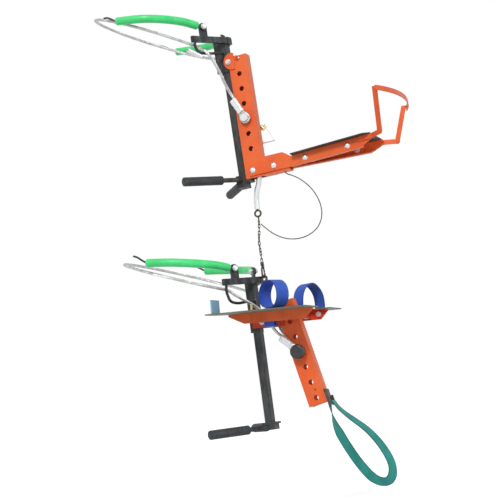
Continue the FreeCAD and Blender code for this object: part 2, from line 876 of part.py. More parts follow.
channel = make_channel("seat_lever", "lever_gap", "seat_lever_top", "seat_lever_drop")
notch = block(
    "seat_lever_notch",
    ("-lever_gap", "notch_width"),
    ("-lever_depth", "lever_depth"),
    ("-notch_drop", "seat_lever_top + 1"),
)
ears = []
for side in SIDES:
    face = "lever_depth / 2" if side == FAR else "-lever_depth / 2 - ear_wall"
    disc = bar(f"seat_ear_disc_{SIDE_WORD[side]}", "y", "ear_radius", ("ear_radius - ear_reach", face, 0),
               "ear_wall")
    keep = block(
        f"seat_ear_keep_{SIDE_WORD[side]}",
        ("-ear_reach", "ear_overlap"),
        (face, f"{face} + ear_wall"),
        ("-ear_radius", "ear_radius"),
    )
    ear = doc.addObject("Part::Common", f"seat_ear_{SIDE_WORD[side]}")
    ear.Base = disc
    ear.Tool = keep
    ears.append(ear)
holes = [
    bar(f"seat_lever_hole_{index}", "y", "hole_radius",
        (SEAT_HOLE_X, "-lever_depth", pin_hole_height("seat_first_hole", index)), "lever_depth * 2")
    for index in range(1, int(size("seat_hole_count")) + 1)
]
ARM_MID = "-seat_lever_drop + arm_bottom_gap + arm_height / 2"
lever_bolt_hole = bar("seat_lever_bolt_hole", "y", "arm_bolt_radius + bolt_hole_fit",
                      ("inner_bolt_x", "-lever_depth", ARM_MID), "lever_depth * 2")
pivot_hole = bar("seat_lever_pivot_hole", "y", "hinge_bolt_radius + running_fit",
                 (0, "-lever_depth", 0), "lever_depth * 2")
trimmed = cut("seat_lever_trimmed", channel, notch)
joined = fuse("seat_lever_blank", trimmed, *ears)
finish(cut("seat_lever_shape", joined, *holes, lever_bolt_hole, pivot_hole), "seat_lever", seat_frame)

# The stub: a square-ended box welded to the foot of the seat lever.
STUB_X = "lever_gap + lever_width"
stub_outer = block(
    "seat_stub_outer",
    (STUB_X, f"{STUB_X} + stub_length"),
    ("-lever_depth / 2", "lever_depth / 2"),
    ("-seat_lever_drop", "-seat_lever_drop + stub_height"),
)
stub_inner = block(
    "seat_stub_inner",
    (STUB_X, f"{STUB_X} + stub_length"),
    ("-lever_depth / 2 + lever_wall", "lever_depth / 2 - lever_wall"),
    ("-seat_lever_drop + lever_wall", "-seat_lever_drop + stub_height - lever_wall"),
)
stub_corner = group("seat_stub_corner", plate(
    "seat_stub_corner_plate",
    [
        (f"{STUB_X} + stub_length + 1", "-seat_lever_drop + stub_height - stub_cut_height"),
        (f"{STUB_X} + stub_length + 1", "-seat_lever_drop + stub_height + 1"),
        (f"{STUB_X} + stub_length - stub_cut_length", "-seat_lever_drop + stub_height + 1"),
        (f"{STUB_X} + stub_length - stub_cut_length", "-seat_lever_drop + stub_height"),
        (f"{STUB_X} + stub_length", "-seat_lever_drop + stub_height - stub_cut_height"),
    ],
    "lever_depth * 2",
    "XZ_Plane",
))
stub_hole = bar("seat_stub_bolt_hole", "y", "arm_bolt_radius + bolt_hole_fit",
                ("stub_bolt_x", "-lever_depth", ARM_MID), "lever_depth * 2")
finish(cut("seat_stub_shape", stub_outer, stub_inner, stub_corner, stub_hole), "seat_stub", seat_frame)


def arm_place(side, shape):
    """Swing a shape built along the straight arm out to one diverging arm."""
    bend = Vector(size("lever_gap") + size("lever_width") + size("stub_length"), 0, 0)
    swing = Placement(Vector(), Rotation(Vector(0, 0, 1), side * size("arm_angle")),
                      Vector(bend.x, side * (size("lever_depth") / 2 + size("arm_wall")), 0))
    moved = shape.copy()
    moved.transformShape(swing.toMatrix())
    return moved


def box_on_side(side, x, y_out, z):
    """A box given by its distances outward from the middle plane."""
    low = side * y_out[0]
    high = side * y_out[1]
    return Part.makeBox(x[1] - x[0], abs(high - low), z[1] - z[0], Vector(x[0], min(low, high), z[0]))


def make_seat_arm(side):
    wall = size("arm_wall")
    inside = size("lever_depth") / 2
    outside = inside + wall
    bottom = -size("seat_lever_drop") + size("arm_bottom_gap")
    top = bottom + size("arm_height")
    bend = size("lever_gap") + size("lever_width") + size("stub_length")
    wedge = wall * math.tan(math.radians(size("arm_angle")))
    flange = size("arm_flange")
    straight = box_on_side(side, (size("arm_start"), bend + wedge), (inside, outside), (bottom, top))
    tip = bend + size("arm_length")
    web = box_on_side(side, (bend, tip), (inside, outside), (bottom, top))
    low_flange = box_on_side(side, (bend + wedge, tip), (outside - flange, outside), (bottom, bottom + wall))
    top_flange = box_on_side(side, (bend + wedge, tip), (outside - flange, outside), (top - wall, top))
    length = size("arm_bevel_length")
    height = size("arm_bevel_height")
    aside = -2 * outside
    corners = [
        Vector(tip - length, aside, bottom - 1),
        Vector(tip + 1, aside, bottom - 1),
        Vector(tip + 1, aside, bottom + height),
        Vector(tip, aside, bottom + height),
        Vector(tip - length, aside, bottom),
    ]
    bevel = Part.Face(Part.makePolygon(corners + corners[:1])).extrude(Vector(0, -2 * aside, 0))
    out_part = web.multiFuse([low_flange, top_flange]).cut(bevel)
    arm = straight.fuse(arm_place(side, out_part)).removeSplitter()
    middle = (bottom + top) / 2
    radius = size("arm_bolt_radius") + size("bolt_hole_fit")
    for x in (size("inner_bolt_x"), size("stub_bolt_x")):
        arm = arm.cut(Part.makeCylinder(radius, -2 * aside, Vector(x, aside, middle), Vector(0, 1, 0)))
    for along in (size("first_bracket"), size("second_bracket")):
        drill = Part.makeCylinder(radius, 2 * inside, Vector(bend + along, side * inside - inside, middle),
                                  Vector(0, 1, 0))
        arm = arm.cut(arm_place(side, drill))
    label = f"seat_arm_{SIDE_WORD[side]}"
    finish(solid(f"{label}_shape", arm), label, seat_frame)


for side in SIDES:
    make_seat_arm(side)


def side_bolt(side, x, face, through, height_z, nut_at=None):
    """A dome-headed bolt along Y with its head on an outer face and its nut inside."""
    radius = size("arm_bolt_radius")
    head_radius = size("arm_head_radius")
    head = size("arm_head_height")
    sphere_radius = (head_radius ** 2 + head ** 2) / (2 * head)
    middle = Vector(x, side * (face + head - sphere_radius), height_z)
    dome = Part.makeSphere(sphere_radius, middle).common(
        box_on_side(side, (x - sphere_radius, x + sphere_radius), (face, face + head),
                    (height_z - sphere_radius, height_z + sphere_radius)))
    inner = face - through
    low = min(side * inner, side * face)
    shank = Part.makeCylinder(radius, through, Vector(x, low, height_z), Vector(0, 1, 0))
    pieces = [shank, dome]
    if nut_at is not None:
        nut_low = min(side * nut_at, side * (nut_at - head))
        nut_radius = size("small_head_radius")
        pieces.append(Part.makeCylinder(nut_radius, head, Vector(x, nut_low, height_z), Vector(0, 1, 0)))
    return pieces[0].multiFuse(pieces[1:])


def make_seat_bolts():
    wall = size("arm_wall")
    inside = size("lever_depth") / 2
    face = inside + wall
    middle = -size("seat_lever_drop") + size("arm_bottom_gap") + size("arm_height") / 2
    bend = size("lever_gap") + size("lever_width") + size("stub_length")
    nut = inside - size("lever_wall")
    beyond = size("arm_head_height") + size("thread_end")
    bolts = []
    for side in SIDES:
        for x in (size("inner_bolt_x"), size("stub_bolt_x")):
            bolts.append(side_bolt(side, x, face, face - nut + beyond, middle, nut))
        for along in (size("first_bracket"), size("second_bracket")):
            tab = inside - wall
            bolt = side_bolt(side, bend + along, face, face - tab + beyond, middle, tab)
            bolts.append(arm_place(side, bolt))
    finish(solid("seat_arm_bolt_shape", Part.makeCompound(bolts)), "seat_arm_bolts", seat_frame)


make_seat_bolts()


def make_seat_brackets():
    """Two flat bars between the arms, with their ends bent down along the webs."""
    wall = size("arm_wall")
    inside = size("lever_depth") / 2
    flange = size("arm_flange")
    bottom = -size("seat_lever_drop") + size("arm_bottom_gap")
    gap = size("rest_gap")
    top = bottom + size("arm_height") - wall - gap
    bend = size("lever_gap") + size("lever_width") + size("stub_length")
    half = size("bracket_width") / 2
    reach = size("arm_length")
    radius = size("arm_bolt_radius") + size("bolt_hole_fit")
    brackets = []
    for along in (size("first_bracket"), size("second_bracket")):
        x = (bend + along - half, bend + along + half)
        angle = math.radians(size("arm_angle"))
        middle_x = bend + along * math.cos(angle)
        bridge = Part.makeBox(2 * half * math.cos(angle), 200, wall,
                              Vector(middle_x - half * math.cos(angle), -100, top - wall))
        tabs = []
        for side in SIDES:
            beyond = box_on_side(side, (bend - inside, bend + 2 * reach), (inside, inside + reach),
                                 (2 * bottom, 0))
            bridge = bridge.cut(arm_place(side, beyond))
            tab = box_on_side(side, x, (inside - wall, inside), (bottom + wall + gap, top))
            start = Vector(bend + along, side * inside - inside, bottom + size("arm_height") / 2)
            hole = Part.makeCylinder(radius, 2 * inside, start, Vector(0, 1, 0))
            tabs.append(arm_place(side, tab.cut(hole)))
        brackets.append(bridge.multiFuse(tabs))
    finish(solid("seat_bracket_shape", Part.makeCompound(brackets)), "seat_cross_brackets", seat_frame)


make_seat_brackets()

# The seat plate lies on the arms' top flanges.
SEAT_TOP = "-seat_lever_drop + arm_bottom_gap + arm_height"
seat_sheet = plate(
    "seat_sheet",
    [
        ("seat_plate_start", "-seat_start_half"),
        ("seat_plate_end - seat_corner_length", "-seat_end_half"),
        ("seat_plate_end", "-seat_end_half + seat_corner_width"),
        ("seat_plate_end", "seat_end_half - seat_corner_width"),
        ("seat_plate_end - seat_corner_length", "seat_end_half"),
        ("seat_plate_start", "seat_start_half"),
    ],
    "plate_wall",
)
move(seat_sheet, 0, 0, f"{SEAT_TOP} + plate_wall / 2")
finish(group("seat_plate_shape", seat_sheet), "seat_plate", seat_frame)


def make_backrest():
    """Side bars from the arm tips, flared out and bent up, and a bulging band across their tops."""
    wall = size("bar_wall")
    width = size("bar_width")
    top_z = size("back_top_z")
    bottom = -size("seat_lever_drop") + size("arm_bottom_gap")
    bend = size("lever_gap") + size("lever_width") + size("stub_length")
    tip_z = bottom + size("arm_height") - width / 2
    angle = math.radians(size("arm_angle"))
    tip_x = bend + size("arm_length") * math.cos(angle)
    bars = []
    for side in SIDES:
        outside = size("lever_depth") / 2 + size("arm_wall")
        lap = size("back_lap")
        reach = size("arm_length") - lap
        start = Vector(
            bend + reach * math.cos(angle) - wall / 2 * math.sin(angle),
            side * (outside + reach * math.sin(angle) + wall / 2 * math.cos(angle)),
            tip_z,
        )
        lap += size("back_lap_round")
        leave = start + Vector(lap * math.cos(angle), side * lap * math.sin(angle), 0)
        low = Vector(tip_x + size("back_bend_reach"), side * size("back_bend_half"), tip_z)
        high = Vector(tip_x + size("back_top_reach"), side * size("back_top_half"), top_z)
        up = Vector(0, 0, 1)
        first = strip(start, leave, up, width, wall)
        second = strip(leave, low, up, width, wall)
        third = strip(low, high, Vector(1, 0, 0), width, wall)
        lean = (high - low).normalize().cross(Vector(1, 0, 0)).normalize() * wall
        knee = cylinder_between(width / 2, low - lean, low + lean)
        elbow = Part.makeCylinder(wall / 2, width, leave - up * width / 2, up)
        bars.append(first.multiFuse([second, elbow, third, knee]).removeSplitter())
    finish(solid("backrest_bar_shape", Part.makeCompound(bars)), "backrest_side_bars", seat_frame)
    half = size("back_top_half")
    bulge = size("back_bulge")
    front = tip_x + size("back_top_reach") + width / 2 + size("band_gap")
    radius = (half ** 2 + bulge ** 2) / (2 * bulge)
    centre = Vector(front + bulge - radius, 0, top_z - width)
    ring = Part.makeCylinder(radius + wall, width, centre).cut(Part.makeCylinder(radius, width, centre))
    reach = half + size("band_overhang")
    window = Part.makeBox(4 * bulge, 2 * reach, width, Vector(front - 2 * bulge, -reach, top_z - width))
    finish(solid("backrest_band_shape", ring.common(window)), "backrest_band", seat_frame)


make_backrest()


# Rope pins, the rope's eyes and ferrules on them, and the tails.
# A rope eye's straight sides leave its disc at this share of the radius.
TEAR_WAIST = 0.98


def make_rope_ends(name, pin, lean, frame):
    """A teardrop eye on the pin and a flat ferrule beyond it, on each side of a lever."""
    along = Vector(-math.sin(math.radians(lean)), 0, math.cos(math.radians(lean)))
    across = Vector(along.z, 0, -along.x)
    face = size("lever_depth") / 2 + size("eye_gap")
    wall = size("eye_wall")
    radius = size("eye_radius")
    depth = size("ferrule_depth")
    width = size("ferrule_width")
    start = radius + size("ferrule_gap")
    shoulder = width / 2 - size("ferrule_shoulder")
    lap = start + size("ferrule_lap")
    pieces = []
    tops = {}
    for side in SIDES:
        low = face if side == FAR else -face - wall
        base = Vector(pin.x, low, pin.z)
        corners = [
            base + across * radius * TEAR_WAIST,
            base + along * lap + across * shoulder,
            base + along * lap - across * shoulder,
            base - across * radius * TEAR_WAIST,
        ]
        tear = Part.Face(Part.makePolygon(corners + corners[:1])).extrude(Vector(0, wall, 0))
        disc = Part.makeCylinder(radius, wall, base, Vector(0, 1, 0))
        bore = Part.makeCylinder(size("pin_radius") + size("rest_gap"), wall, base, Vector(0, 1, 0))
        middle = side * (face + wall / 2)
        foot = Vector(pin.x, middle - depth / 2, pin.z) + along * start
        half = (width - depth) / 2
        centre = Vector(foot.x, middle, foot.z)
        sleeve = Part.makeCylinder(depth / 2, size("ferrule_length"), centre + across * half, along)
        twin = Part.makeCylinder(depth / 2, size("ferrule_length"), centre - across * half, along)
        corners = [
            foot + across * half, foot + across * half + Vector(0, depth, 0),
            foot - across * half + Vector(0, depth, 0), foot - across * half,
        ]
        bridge = Part.Face(Part.makePolygon(corners + corners[:1])).extrude(along * size("ferrule_length"))
        pieces.append(tear.multiFuse([disc, sleeve, twin, bridge]).cut(bore).removeSplitter())
        tops[side] = centre + along * size("ferrule_length") + across * half
    finish(solid(f"{name}_shape", Part.makeCompound(pieces)), name, frame)
    return tops, along


SEAT_PIN = Vector(
    size("lever_gap") + size("lever_width") / 2, 0,
    size("seat_first_hole") - (size("seat_pin_hole") - 1) * size("hole_pitch"),
)
FOOT_PIN = Vector(
    size("foot_lever_start") + size("lever_width") / 2, 0,
    size("foot_first_hole") - (size("foot_pin_hole") - 1) * size("hole_pitch"),
)
seat_tops, seat_along = make_rope_ends("seat_rope_ends", SEAT_PIN, size("seat_rope_lean"), seat_frame)
foot_tops, foot_along = make_rope_ends("foot_rope_ends", FOOT_PIN, size("foot_rope_lean"), lever_frame)


def make_rope_tails(unit, name, tops, along, tilt, route):
    """Rope from the hoop to a ferrule, near and far."""
    pivot = Vector(size("seat_pivot_x" if unit == "upper" else "foot_pivot_x"), 0,
                   size("seat_pivot_z" if unit == "upper" else "foot_pivot_z"))
    frame = Placement(pivot, Rotation(Vector(0, 1, 0), size(tilt)))
    tails = []
    top = frame.multVec(tops[NEAR])
    leave = frame.Rotation.multVec(along)
    start = ROPE_START[unit]
    near = [start, start + ROPE_START[unit, "along"] * size("tail_start")]
    near += [Vector(*point) for point in route]
    near += [top + leave * size("tail_end"), top]
    shape = tube(near, size("rope_radius"), name)
    tails.append(shape)
    tails.append(mirrored(shape))
    finish(solid(f"{name}_shape", Part.makeCompound(tails)), name)


make_rope_tails("upper", "seat_rope_tails", seat_tops, seat_along, "seat_tilt", [
    (153, -71, 355), (167, -73, 344), (179, -67, 320), (189, -52, 286), (192, -36, 258),
])
make_rope_tails("lower", "foot_rope_tails", foot_tops, foot_along, "lever_lean", [
    (153, -71, -283), (170, -66, -296), (190, -54, -312), (207, -38, -331), (219, -32, -352),
])


LINCH_DOWN = Vector(1, 0, -1).normalize()


def make_pin(name, pin, frame, knob):
    face = size("lever_depth") / 2 + size("eye_gap") + size("eye_wall") + size("rest_gap")
    head_radius = size("knob_radius") if knob else size("pin_head_radius")
    head_height = size("knob_height") if knob else size("pin_head_height")
    reach = face + size("pin_end")
    shank = Part.makeCylinder(size("pin_radius"), face + reach, Vector(pin.x, -face, pin.z), Vector(0, 1, 0))
    head_start = Vector(pin.x, -face - head_height, pin.z)
    head = Part.makeCylinder(head_radius, head_height, head_start, Vector(0, 1, 0))
    if knob:
        edges = [edge for edge in head.Edges if abs(edge.BoundBox.YMin + face + head_height) < 0.01
                 and edge.BoundBox.YLength < 0.01]
        head = head.makeFillet(size("knob_fillet"), edges[:1])
        shape = shank.fuse(head)
        clip_radius = size("pin_radius") + size("clip_overhang")
        clip = Part.makeCylinder(clip_radius, size("clip_wall"), Vector(pin.x, face, pin.z), Vector(0, 1, 0))
        shape = shape.fuse(clip).removeSplitter()
    else:
        shape = shank.fuse(head).removeSplitter()
        middle = Vector(pin.x, face + size("linch_place"), pin.z)
        through = LINCH_DOWN * reach
        hole_radius = size("linch_radius") + size("running_fit")
        cross = cylinder_between(hole_radius, middle - through, middle + through)
        shape = shape.cut(cross)
    finish(solid(f"{name}_shape", shape), name, frame)
    return Vector(pin.x, face + size("linch_place"), pin.z)


LINCH = make_pin("seat_rope_pin", SEAT_PIN, seat_frame, False)
make_pin("foot_rope_pin", FOOT_PIN, lever_frame, True)


def make_linch():
    """A linch pin through the far end of the seat's rope pin, with a wire bail hanging from its head."""
    down = LINCH_DOWN
    start = LINCH - down * (size("pin_radius") + size("linch_tail"))
    neck = LINCH + down * size("linch_length")
    end = neck + down * size("linch_head_length")
    shape = cylinder_between(size("linch_radius"), start, neck)
    shape = shape.fuse(cylinder_between(size("linch_head_radius"), neck, end))
    wire = size("bail_wire")
    middle = neck + down * (size("linch_head_length") / 2)
    half = size("bail_half")
    hang = Vector(down.x, 0, -down.z)
    through = hang * size("linch_length")
    shape = shape.cut(cylinder_between(wire + size("bail_fit"), middle - through, middle + through))
    finish(solid("seat_linch_shape", shape), "seat_linch_pin", seat_frame)
    shoulder_reach = size("bail_shoulder")
    shoulders = [middle - hang * shoulder_reach, middle + hang * shoulder_reach]
    first_knee = middle - Vector(size("bail_offset"), 0, size("bail_drop"))
    knees = [first_knee, first_knee + Vector(2 * half, 0, 0)]
    bail = cylinder_between(wire, shoulders[0], shoulders[1])
    pieces = [cylinder_between(wire, knees[0], knees[1])]
    for shoulder, knee in zip(shoulders, knees):
        pieces.append(cylinder_between(wire, shoulder, knee))
        pieces.append(Part.makeSphere(wire, shoulder))
        pieces.append(Part.makeSphere(wire, knee))
    finish(solid("seat_bail_shape", bail.multiFuse(pieces).removeSplitter()), "seat_linch_bail", seat_frame)


make_linch()

# The foot lever: a leaning channel with its row of holes.
foot_channel = make_channel("foot_lever", "foot_lever_start", "foot_lever_top", "foot_lever_drop")
foot_corner = group("foot_lever_corner", plate(
    "foot_lever_corner_plate",
    [
        ("foot_lever_start - 1", "foot_lever_top - foot_lever_cut"),
        ("foot_lever_start", "foot_lever_top - foot_lever_cut"),
        ("foot_lever_start + foot_lever_cut", "foot_lever_top"),
        ("foot_lever_start + foot_lever_cut", "foot_lever_top + 1"),
        ("foot_lever_start - 1", "foot_lever_top + 1"),
    ],
    "lever_depth * 2",
    "XZ_Plane",
))
foot_holes = [
    bar(f"foot_lever_hole_{index}", "y", "hole_radius",
        (FOOT_HOLE_X, "-lever_depth", pin_hole_height("foot_first_hole", index)), "lever_depth * 2")
    for index in range(1, int(size("foot_hole_count")) + 1)
]
last_hole = pin_hole_height("foot_first_hole", int(size("foot_hole_count")))
rivet_hole = bar("foot_lever_rivet_hole", "y", "rivet_hole_radius",
                 (f"{FOOT_HOLE_X} + rivet_hole_shift", "-lever_depth", f"{last_hole} + rivet_hole_rise"),
                 "lever_depth * 2")
finish(cut("foot_lever_shape", foot_channel, foot_corner, *foot_holes, rivet_hole), "foot_lever", lever_frame)


def lever_in_foot_frame(shape):
    """Move a shape from the leaning lever's frame to the foot frame."""
    moved = shape.copy()
    spin = Placement(Vector(), Rotation(Vector(0, 1, 0), size("lever_lean") - size("arm_tilt")))
    moved.transformShape(spin.toMatrix())
    return moved


def foot_arm_place(side, shape):
    moved = shape.copy()
    swing = Placement(Vector(0, side * size("foot_arm_half"), 0),
                      Rotation(Vector(0, 0, 1), -side * size("foot_arm_angle")))
    moved.transformShape(swing.toMatrix())
    return moved


def make_foot_arm(side):
    """An angle with its web outside and its flange inward under the plate; both ends are bevelled."""
    wall = size("arm_wall")
    top = size("foot_arm_top")
    bottom = top - size("foot_arm_height")
    start = size("foot_arm_start")
    end = size("foot_arm_end")
    web = box_on_side(side, (start, end), (0, wall), (bottom, top))
    flange = box_on_side(side, (start, end), (-size("arm_flange"), wall), (top - wall, top))
    bevel = size("foot_arm_bevel")
    edge = top - wall - size("foot_arm_edge")
    aside = Vector(0, size("foot_arm_height"), 0)
    tools = []
    for tip, way in ((start, 1), (end, -0.5)):
        outside = tip - math.copysign(1, way)
        inner = tip + way * bevel
        corners = [
            Vector(outside, 0, bottom - 1), Vector(inner, 0, bottom - 1), Vector(inner, 0, bottom),
            Vector(tip, 0, edge), Vector(outside, 0, edge),
        ]
        outline = Part.makePolygon([corner - aside for corner in corners + corners[:1]])
        tools.append(Part.Face(outline).extrude(aside * 2))
    arm = web.fuse(flange).cut(Part.makeCompound(tools)).removeSplitter()
    radius = size("hinge_bolt_radius") + size("bolt_hole_fit")
    if side == FAR:
        drill_start = Vector(size("end_bolt_x"), 0, end_bolt_z()) - aside
        arm = arm.cut(Part.makeCylinder(radius, 2 * aside.y, drill_start, Vector(0, 1, 0)))
    arm = foot_arm_place(side, arm)
    radius = size("strap_bolt_radius") + size("bolt_hole_fit")
    for drill in strap_bolt_cylinders(side, radius, -aside.y, aside.y):
        arm = arm.cut(drill)
    label = f"foot_arm_{SIDE_WORD[side]}"
    finish(solid(f"{label}_shape", arm), label, foot_frame)
    return arm


def end_bolt_z():
    return size("foot_arm_top") - size("foot_arm_height") / 2 + size("end_bolt_rise")


def strap_bolt_cylinders(side, radius, low, high):
    """Upright cylinders at the two strap bolts of one arm, from below to above the plate's underside."""
    top = size("foot_arm_top")
    inward = -side * size("arm_flange") / 2
    return [
        foot_arm_place(side, Part.makeCylinder(radius, high - low, Vector(x, inward, top + low)))
        for x in (size("first_strap_bolt"), size("second_strap_bolt"))
    ]


foot_arms = {side: make_foot_arm(side) for side in SIDES}


def make_foot_stub():
    """Two side plates from the hinge to the lever's faces, tied by a web above the hinge's cheeks."""
    wall = size("arm_wall")
    face = size("lever_depth") / 2
    half = size("foot_stub_height") / 2
    end = size("foot_lever_start") + size("lever_width") / 2 - size("hole_radius") - size("foot_stub_gap")
    pieces = []
    for side in SIDES:
        side_plate = box_on_side(side, (-size("foot_stub_tail"), end), (face, face + wall), (-half, half))
        pieces.append(side_plate)
    web_start = size("cheek_radius") + size("foot_stub_gap")
    web_length = size("foot_lever_start") - size("foot_stub_web_end") - web_start
    web = Part.makeBox(web_length, 2 * face, wall, Vector(web_start, -face, half - wall))
    stub = web.multiFuse(pieces).removeSplitter()
    radius = size("hinge_bolt_radius") + size("running_fit")
    pivot = Part.makeCylinder(radius, 4 * face, Vector(0, -2 * face, 0), Vector(0, 1, 0))
    finish(solid("foot_stub_shape", stub.cut(pivot)), "foot_stub", foot_frame)


make_foot_stub()


def make_cross_bars():
    """Flat bars on edge from the stub's sides and from the lever's back to the arms' webs."""
    wall = size("arm_wall")
    thick = size("bar_thickness")
    height = size("bar_height")
    top = size("foot_arm_top") - wall - size("rest_gap")
    reach = 2 * size("foot_arm_half")
    face = size("lever_depth") / 2 + wall
    front = size("front_bar_x")
    bars = []
    outsides = {}
    for side in SIDES:
        beyond = box_on_side(side, (-2 * reach, 2 * reach), (0, reach), (-reach, reach))
        outsides[side] = foot_arm_place(side, beyond)
        blank = box_on_side(side, (front, front + thick), (face, reach), (top - height, top))
        bars.append(blank.cut(outsides[side]))
    back = size("foot_lever_start") + size("lever_width")
    rear_top = -size("rear_bar_drop")
    rear_height = size("rear_bar_height")
    rear = Part.makeBox(thick, 2 * reach, rear_height, Vector(back, -reach, rear_top - rear_height))
    bars.append(lever_in_foot_frame(rear).cut(outsides[NEAR]).cut(outsides[FAR]))
    finish(solid("foot_bar_shape", Part.makeCompound(bars)), "foot_cross_bars", foot_frame)


make_cross_bars()


def make_foot_bolts():
    """A bolt through the far arm's end, with its head inside, and the bolts that hold the foot loops."""
    wall = size("arm_wall")
    head_radius = size("small_head_radius")
    head = size("small_head_height")
    pieces = []
    for bolt_radius, start, stop in (
        (size("hinge_bolt_radius"), -head, wall + head + size("thread_end")),
        (head_radius, -head, 0),
        (head_radius, wall, wall + head),
    ):
        place = Vector(size("end_bolt_x"), start, end_bolt_z())
        pieces.append(Part.makeCylinder(bolt_radius, stop - start, place, Vector(0, 1, 0)))
    bolt = foot_arm_place(FAR, pieces[0].multiFuse(pieces[1:]))
    finish(solid("foot_bolt_shape", Part.makeCompound([bolt])), "foot_bolts", foot_frame)
    strap_bolts = []
    under = -wall
    above = size("plate_wall")
    nut_radius = size("strap_nut_radius")
    nut_height = size("strap_nut_height")
    for side in SIDES:
        shanks = strap_bolt_cylinders(side, size("strap_bolt_radius"), under - size("strap_bolt_tail"),
                                      above + size("strap_bolt_rise"))
        nuts = strap_bolt_cylinders(side, nut_radius, under - nut_height, under)
        heads = strap_bolt_cylinders(side, nut_radius, above, above + nut_height)
        for shank, nut, head_piece in zip(shanks, nuts, heads):
            strap_bolts.append(shank.multiFuse([nut, head_piece]))
    finish(solid("strap_bolt_shape", Part.makeCompound(strap_bolts)), "strap_bolts", foot_frame)


make_foot_bolts()

# Foot plates, near and far: each clears the trunk with a slanted inner corner at its toe end.
PLATE_MIDDLE = "foot_arm_top + plate_wall / 2"
foot_sheets = []
for side in SIDES:
    word = SIDE_WORD[side]
    sheet_body = plate(
        f"foot_sheet_{word}",
        [
            ("foot_plate_end", f"{side} * foot_plate_inner"),
            ("foot_plate_end", f"{side} * foot_plate_outer"),
            ("foot_plate_start", f"{side} * foot_toe_outer"),
            ("foot_plate_start + toe_step", f"{side} * foot_toe_inner"),
            ("foot_heel_x", f"{side} * foot_heel_inner"),
        ],
        "plate_wall",
    )
    move(sheet_body, 0, 0, PLATE_MIDDLE)
    drill_radius = size("strap_bolt_radius") + size("bolt_hole_fit")
    drills = [
        solid(f"foot_sheet_drill_{word}_{index}", drill)
        for index, drill in enumerate(
            strap_bolt_cylinders(side, drill_radius, -size("strap_nut_height"), size("strap_bolt_rise")))
    ]
    foot_sheets.append(cut(f"foot_sheet_{word}_drilled", sheet_body, *drills))
finish(group("foot_plate_shape", *foot_sheets), "foot_plates", foot_frame)

PLATE_TOP = "foot_arm_top + plate_wall"
toe_blocks = []
for side in SIDES:
    near_edge = f"{side} * toe_stop_inner" if side == FAR else "-toe_stop_inner - toe_stop_width"
    toe_blocks.append(block(
        f"toe_stop_{SIDE_WORD[side]}",
        ("toe_stop_x", "toe_stop_x + plate_wall"),
        (near_edge, f"{near_edge} + toe_stop_width"),
        (PLATE_TOP, f"{PLATE_TOP} + toe_stop_height"),
    ))
finish(group("toe_stop_shape", *toe_blocks), "toe_stops", foot_frame)


# Straps are flat bands: a rounded path with its thickness, stretched to the band's width.
def closed_band(points, wall, width_vector):
    """A band whose closed path lies in a plane; it is stretched half its width each way."""
    wire, _ = rounded_path(points, closed=True)
    rims = [wire.makeOffset2D(wall / 2), wire.makeOffset2D(-wall / 2)]
    face = Part.makeFace(rims, "Part::FaceMakerBullseye")
    face.translate(width_vector * -0.5)
    return face.extrude(width_vector)


def open_band(points, wall, width_vector, share=0.45):
    """A band along an open path in a plane square to its width."""
    along = (points[1] - points[0]).normalize()
    beside = width_vector.cross(along).normalize()
    wire, _ = rounded_path(points, share)
    corner = points[0] - beside * (wall / 2) - width_vector * 0.5
    profile = Part.makePolygon([corner, corner + beside * wall, corner + beside * wall + width_vector,
                                corner + width_vector, corner])
    return wire.makePipeShell([profile], True, False)


# Paths of the two foot loops above the plates: where each starts, which way it runs over its plate, and its
# points by distance along that run and height. The near one is closed; the far one stands on its two ends.
NEAR_LOOP_START = (68, -95)
NEAR_LOOP_RUN = (88, -49)
NEAR_LOOP = ((-18, 0), (18, 0), (35, 22), (33, 52), (10, 70), (-18, 66), (-35, 42), (-34, 16))
FAR_LOOP_START = (72, 62)
FAR_LOOP_RUN = (36, 63)
FAR_LOOP = ((0, 0), (-1, 26), (10, 56), (38, 72), (64, 52), (74, 24), (72, 0))
WRAP_CORNER = 0.2


def make_foot_straps():
    """Loops of webbing over the foot plates, and the slack of the webbing under them, inside the arms."""
    wall = size("strap_wall")
    width = size("strap_width")
    gap = size("rest_gap")
    plate_top = size("foot_arm_top") + size("plate_wall") + gap
    run = Vector(*NEAR_LOOP_RUN, 0).normalize()
    start = Vector(*NEAR_LOOP_START, plate_top + wall / 2)
    near_path = [start + run * distance + Vector(0, 0, rise) for distance, rise in NEAR_LOOP]
    near_loop = closed_band(near_path, wall, Vector(-run.y, run.x, 0) * width)
    run = Vector(*FAR_LOOP_RUN, 0).normalize()
    start = Vector(*FAR_LOOP_START, plate_top)
    far_path = [start + run * distance + Vector(0, 0, rise) for distance, rise in FAR_LOOP]
    far_loop = open_band(far_path, wall, Vector(run.y, -run.x, 0) * width)
    wraps = {}
    x = size("wrap_x")
    under = size("foot_arm_top") - gap
    behind = size("foot_arm_top") - size("arm_wall") - size("strap_bolt_tail") - gap
    bottom = size("foot_arm_top") - size("foot_arm_height") - size("wrap_drop")
    for side in SIDES:
        inner = side * (size("foot_arm_half") - size("arm_flange") - size("wrap_inner"))
        outer = side * (size("foot_arm_half") - size("wrap_outer"))
        corners = ((outer, behind), (outer, bottom), (inner, bottom), (inner, under))
        path = [Vector(x, y, z) for y, z in corners]
        wraps[side] = open_band(path, wall, Vector(side * size("wrap_width"), 0, 0), WRAP_CORNER)
    near_shape = Part.makeCompound([near_loop, wraps[NEAR]])
    far_shape = Part.makeCompound([far_loop, wraps[FAR]])
    finish(solid("foot_strap_near_shape", near_shape), "foot_strap_near", foot_frame)
    finish(solid("foot_strap_far_shape", far_shape), "foot_strap_far", foot_frame)


make_foot_straps()

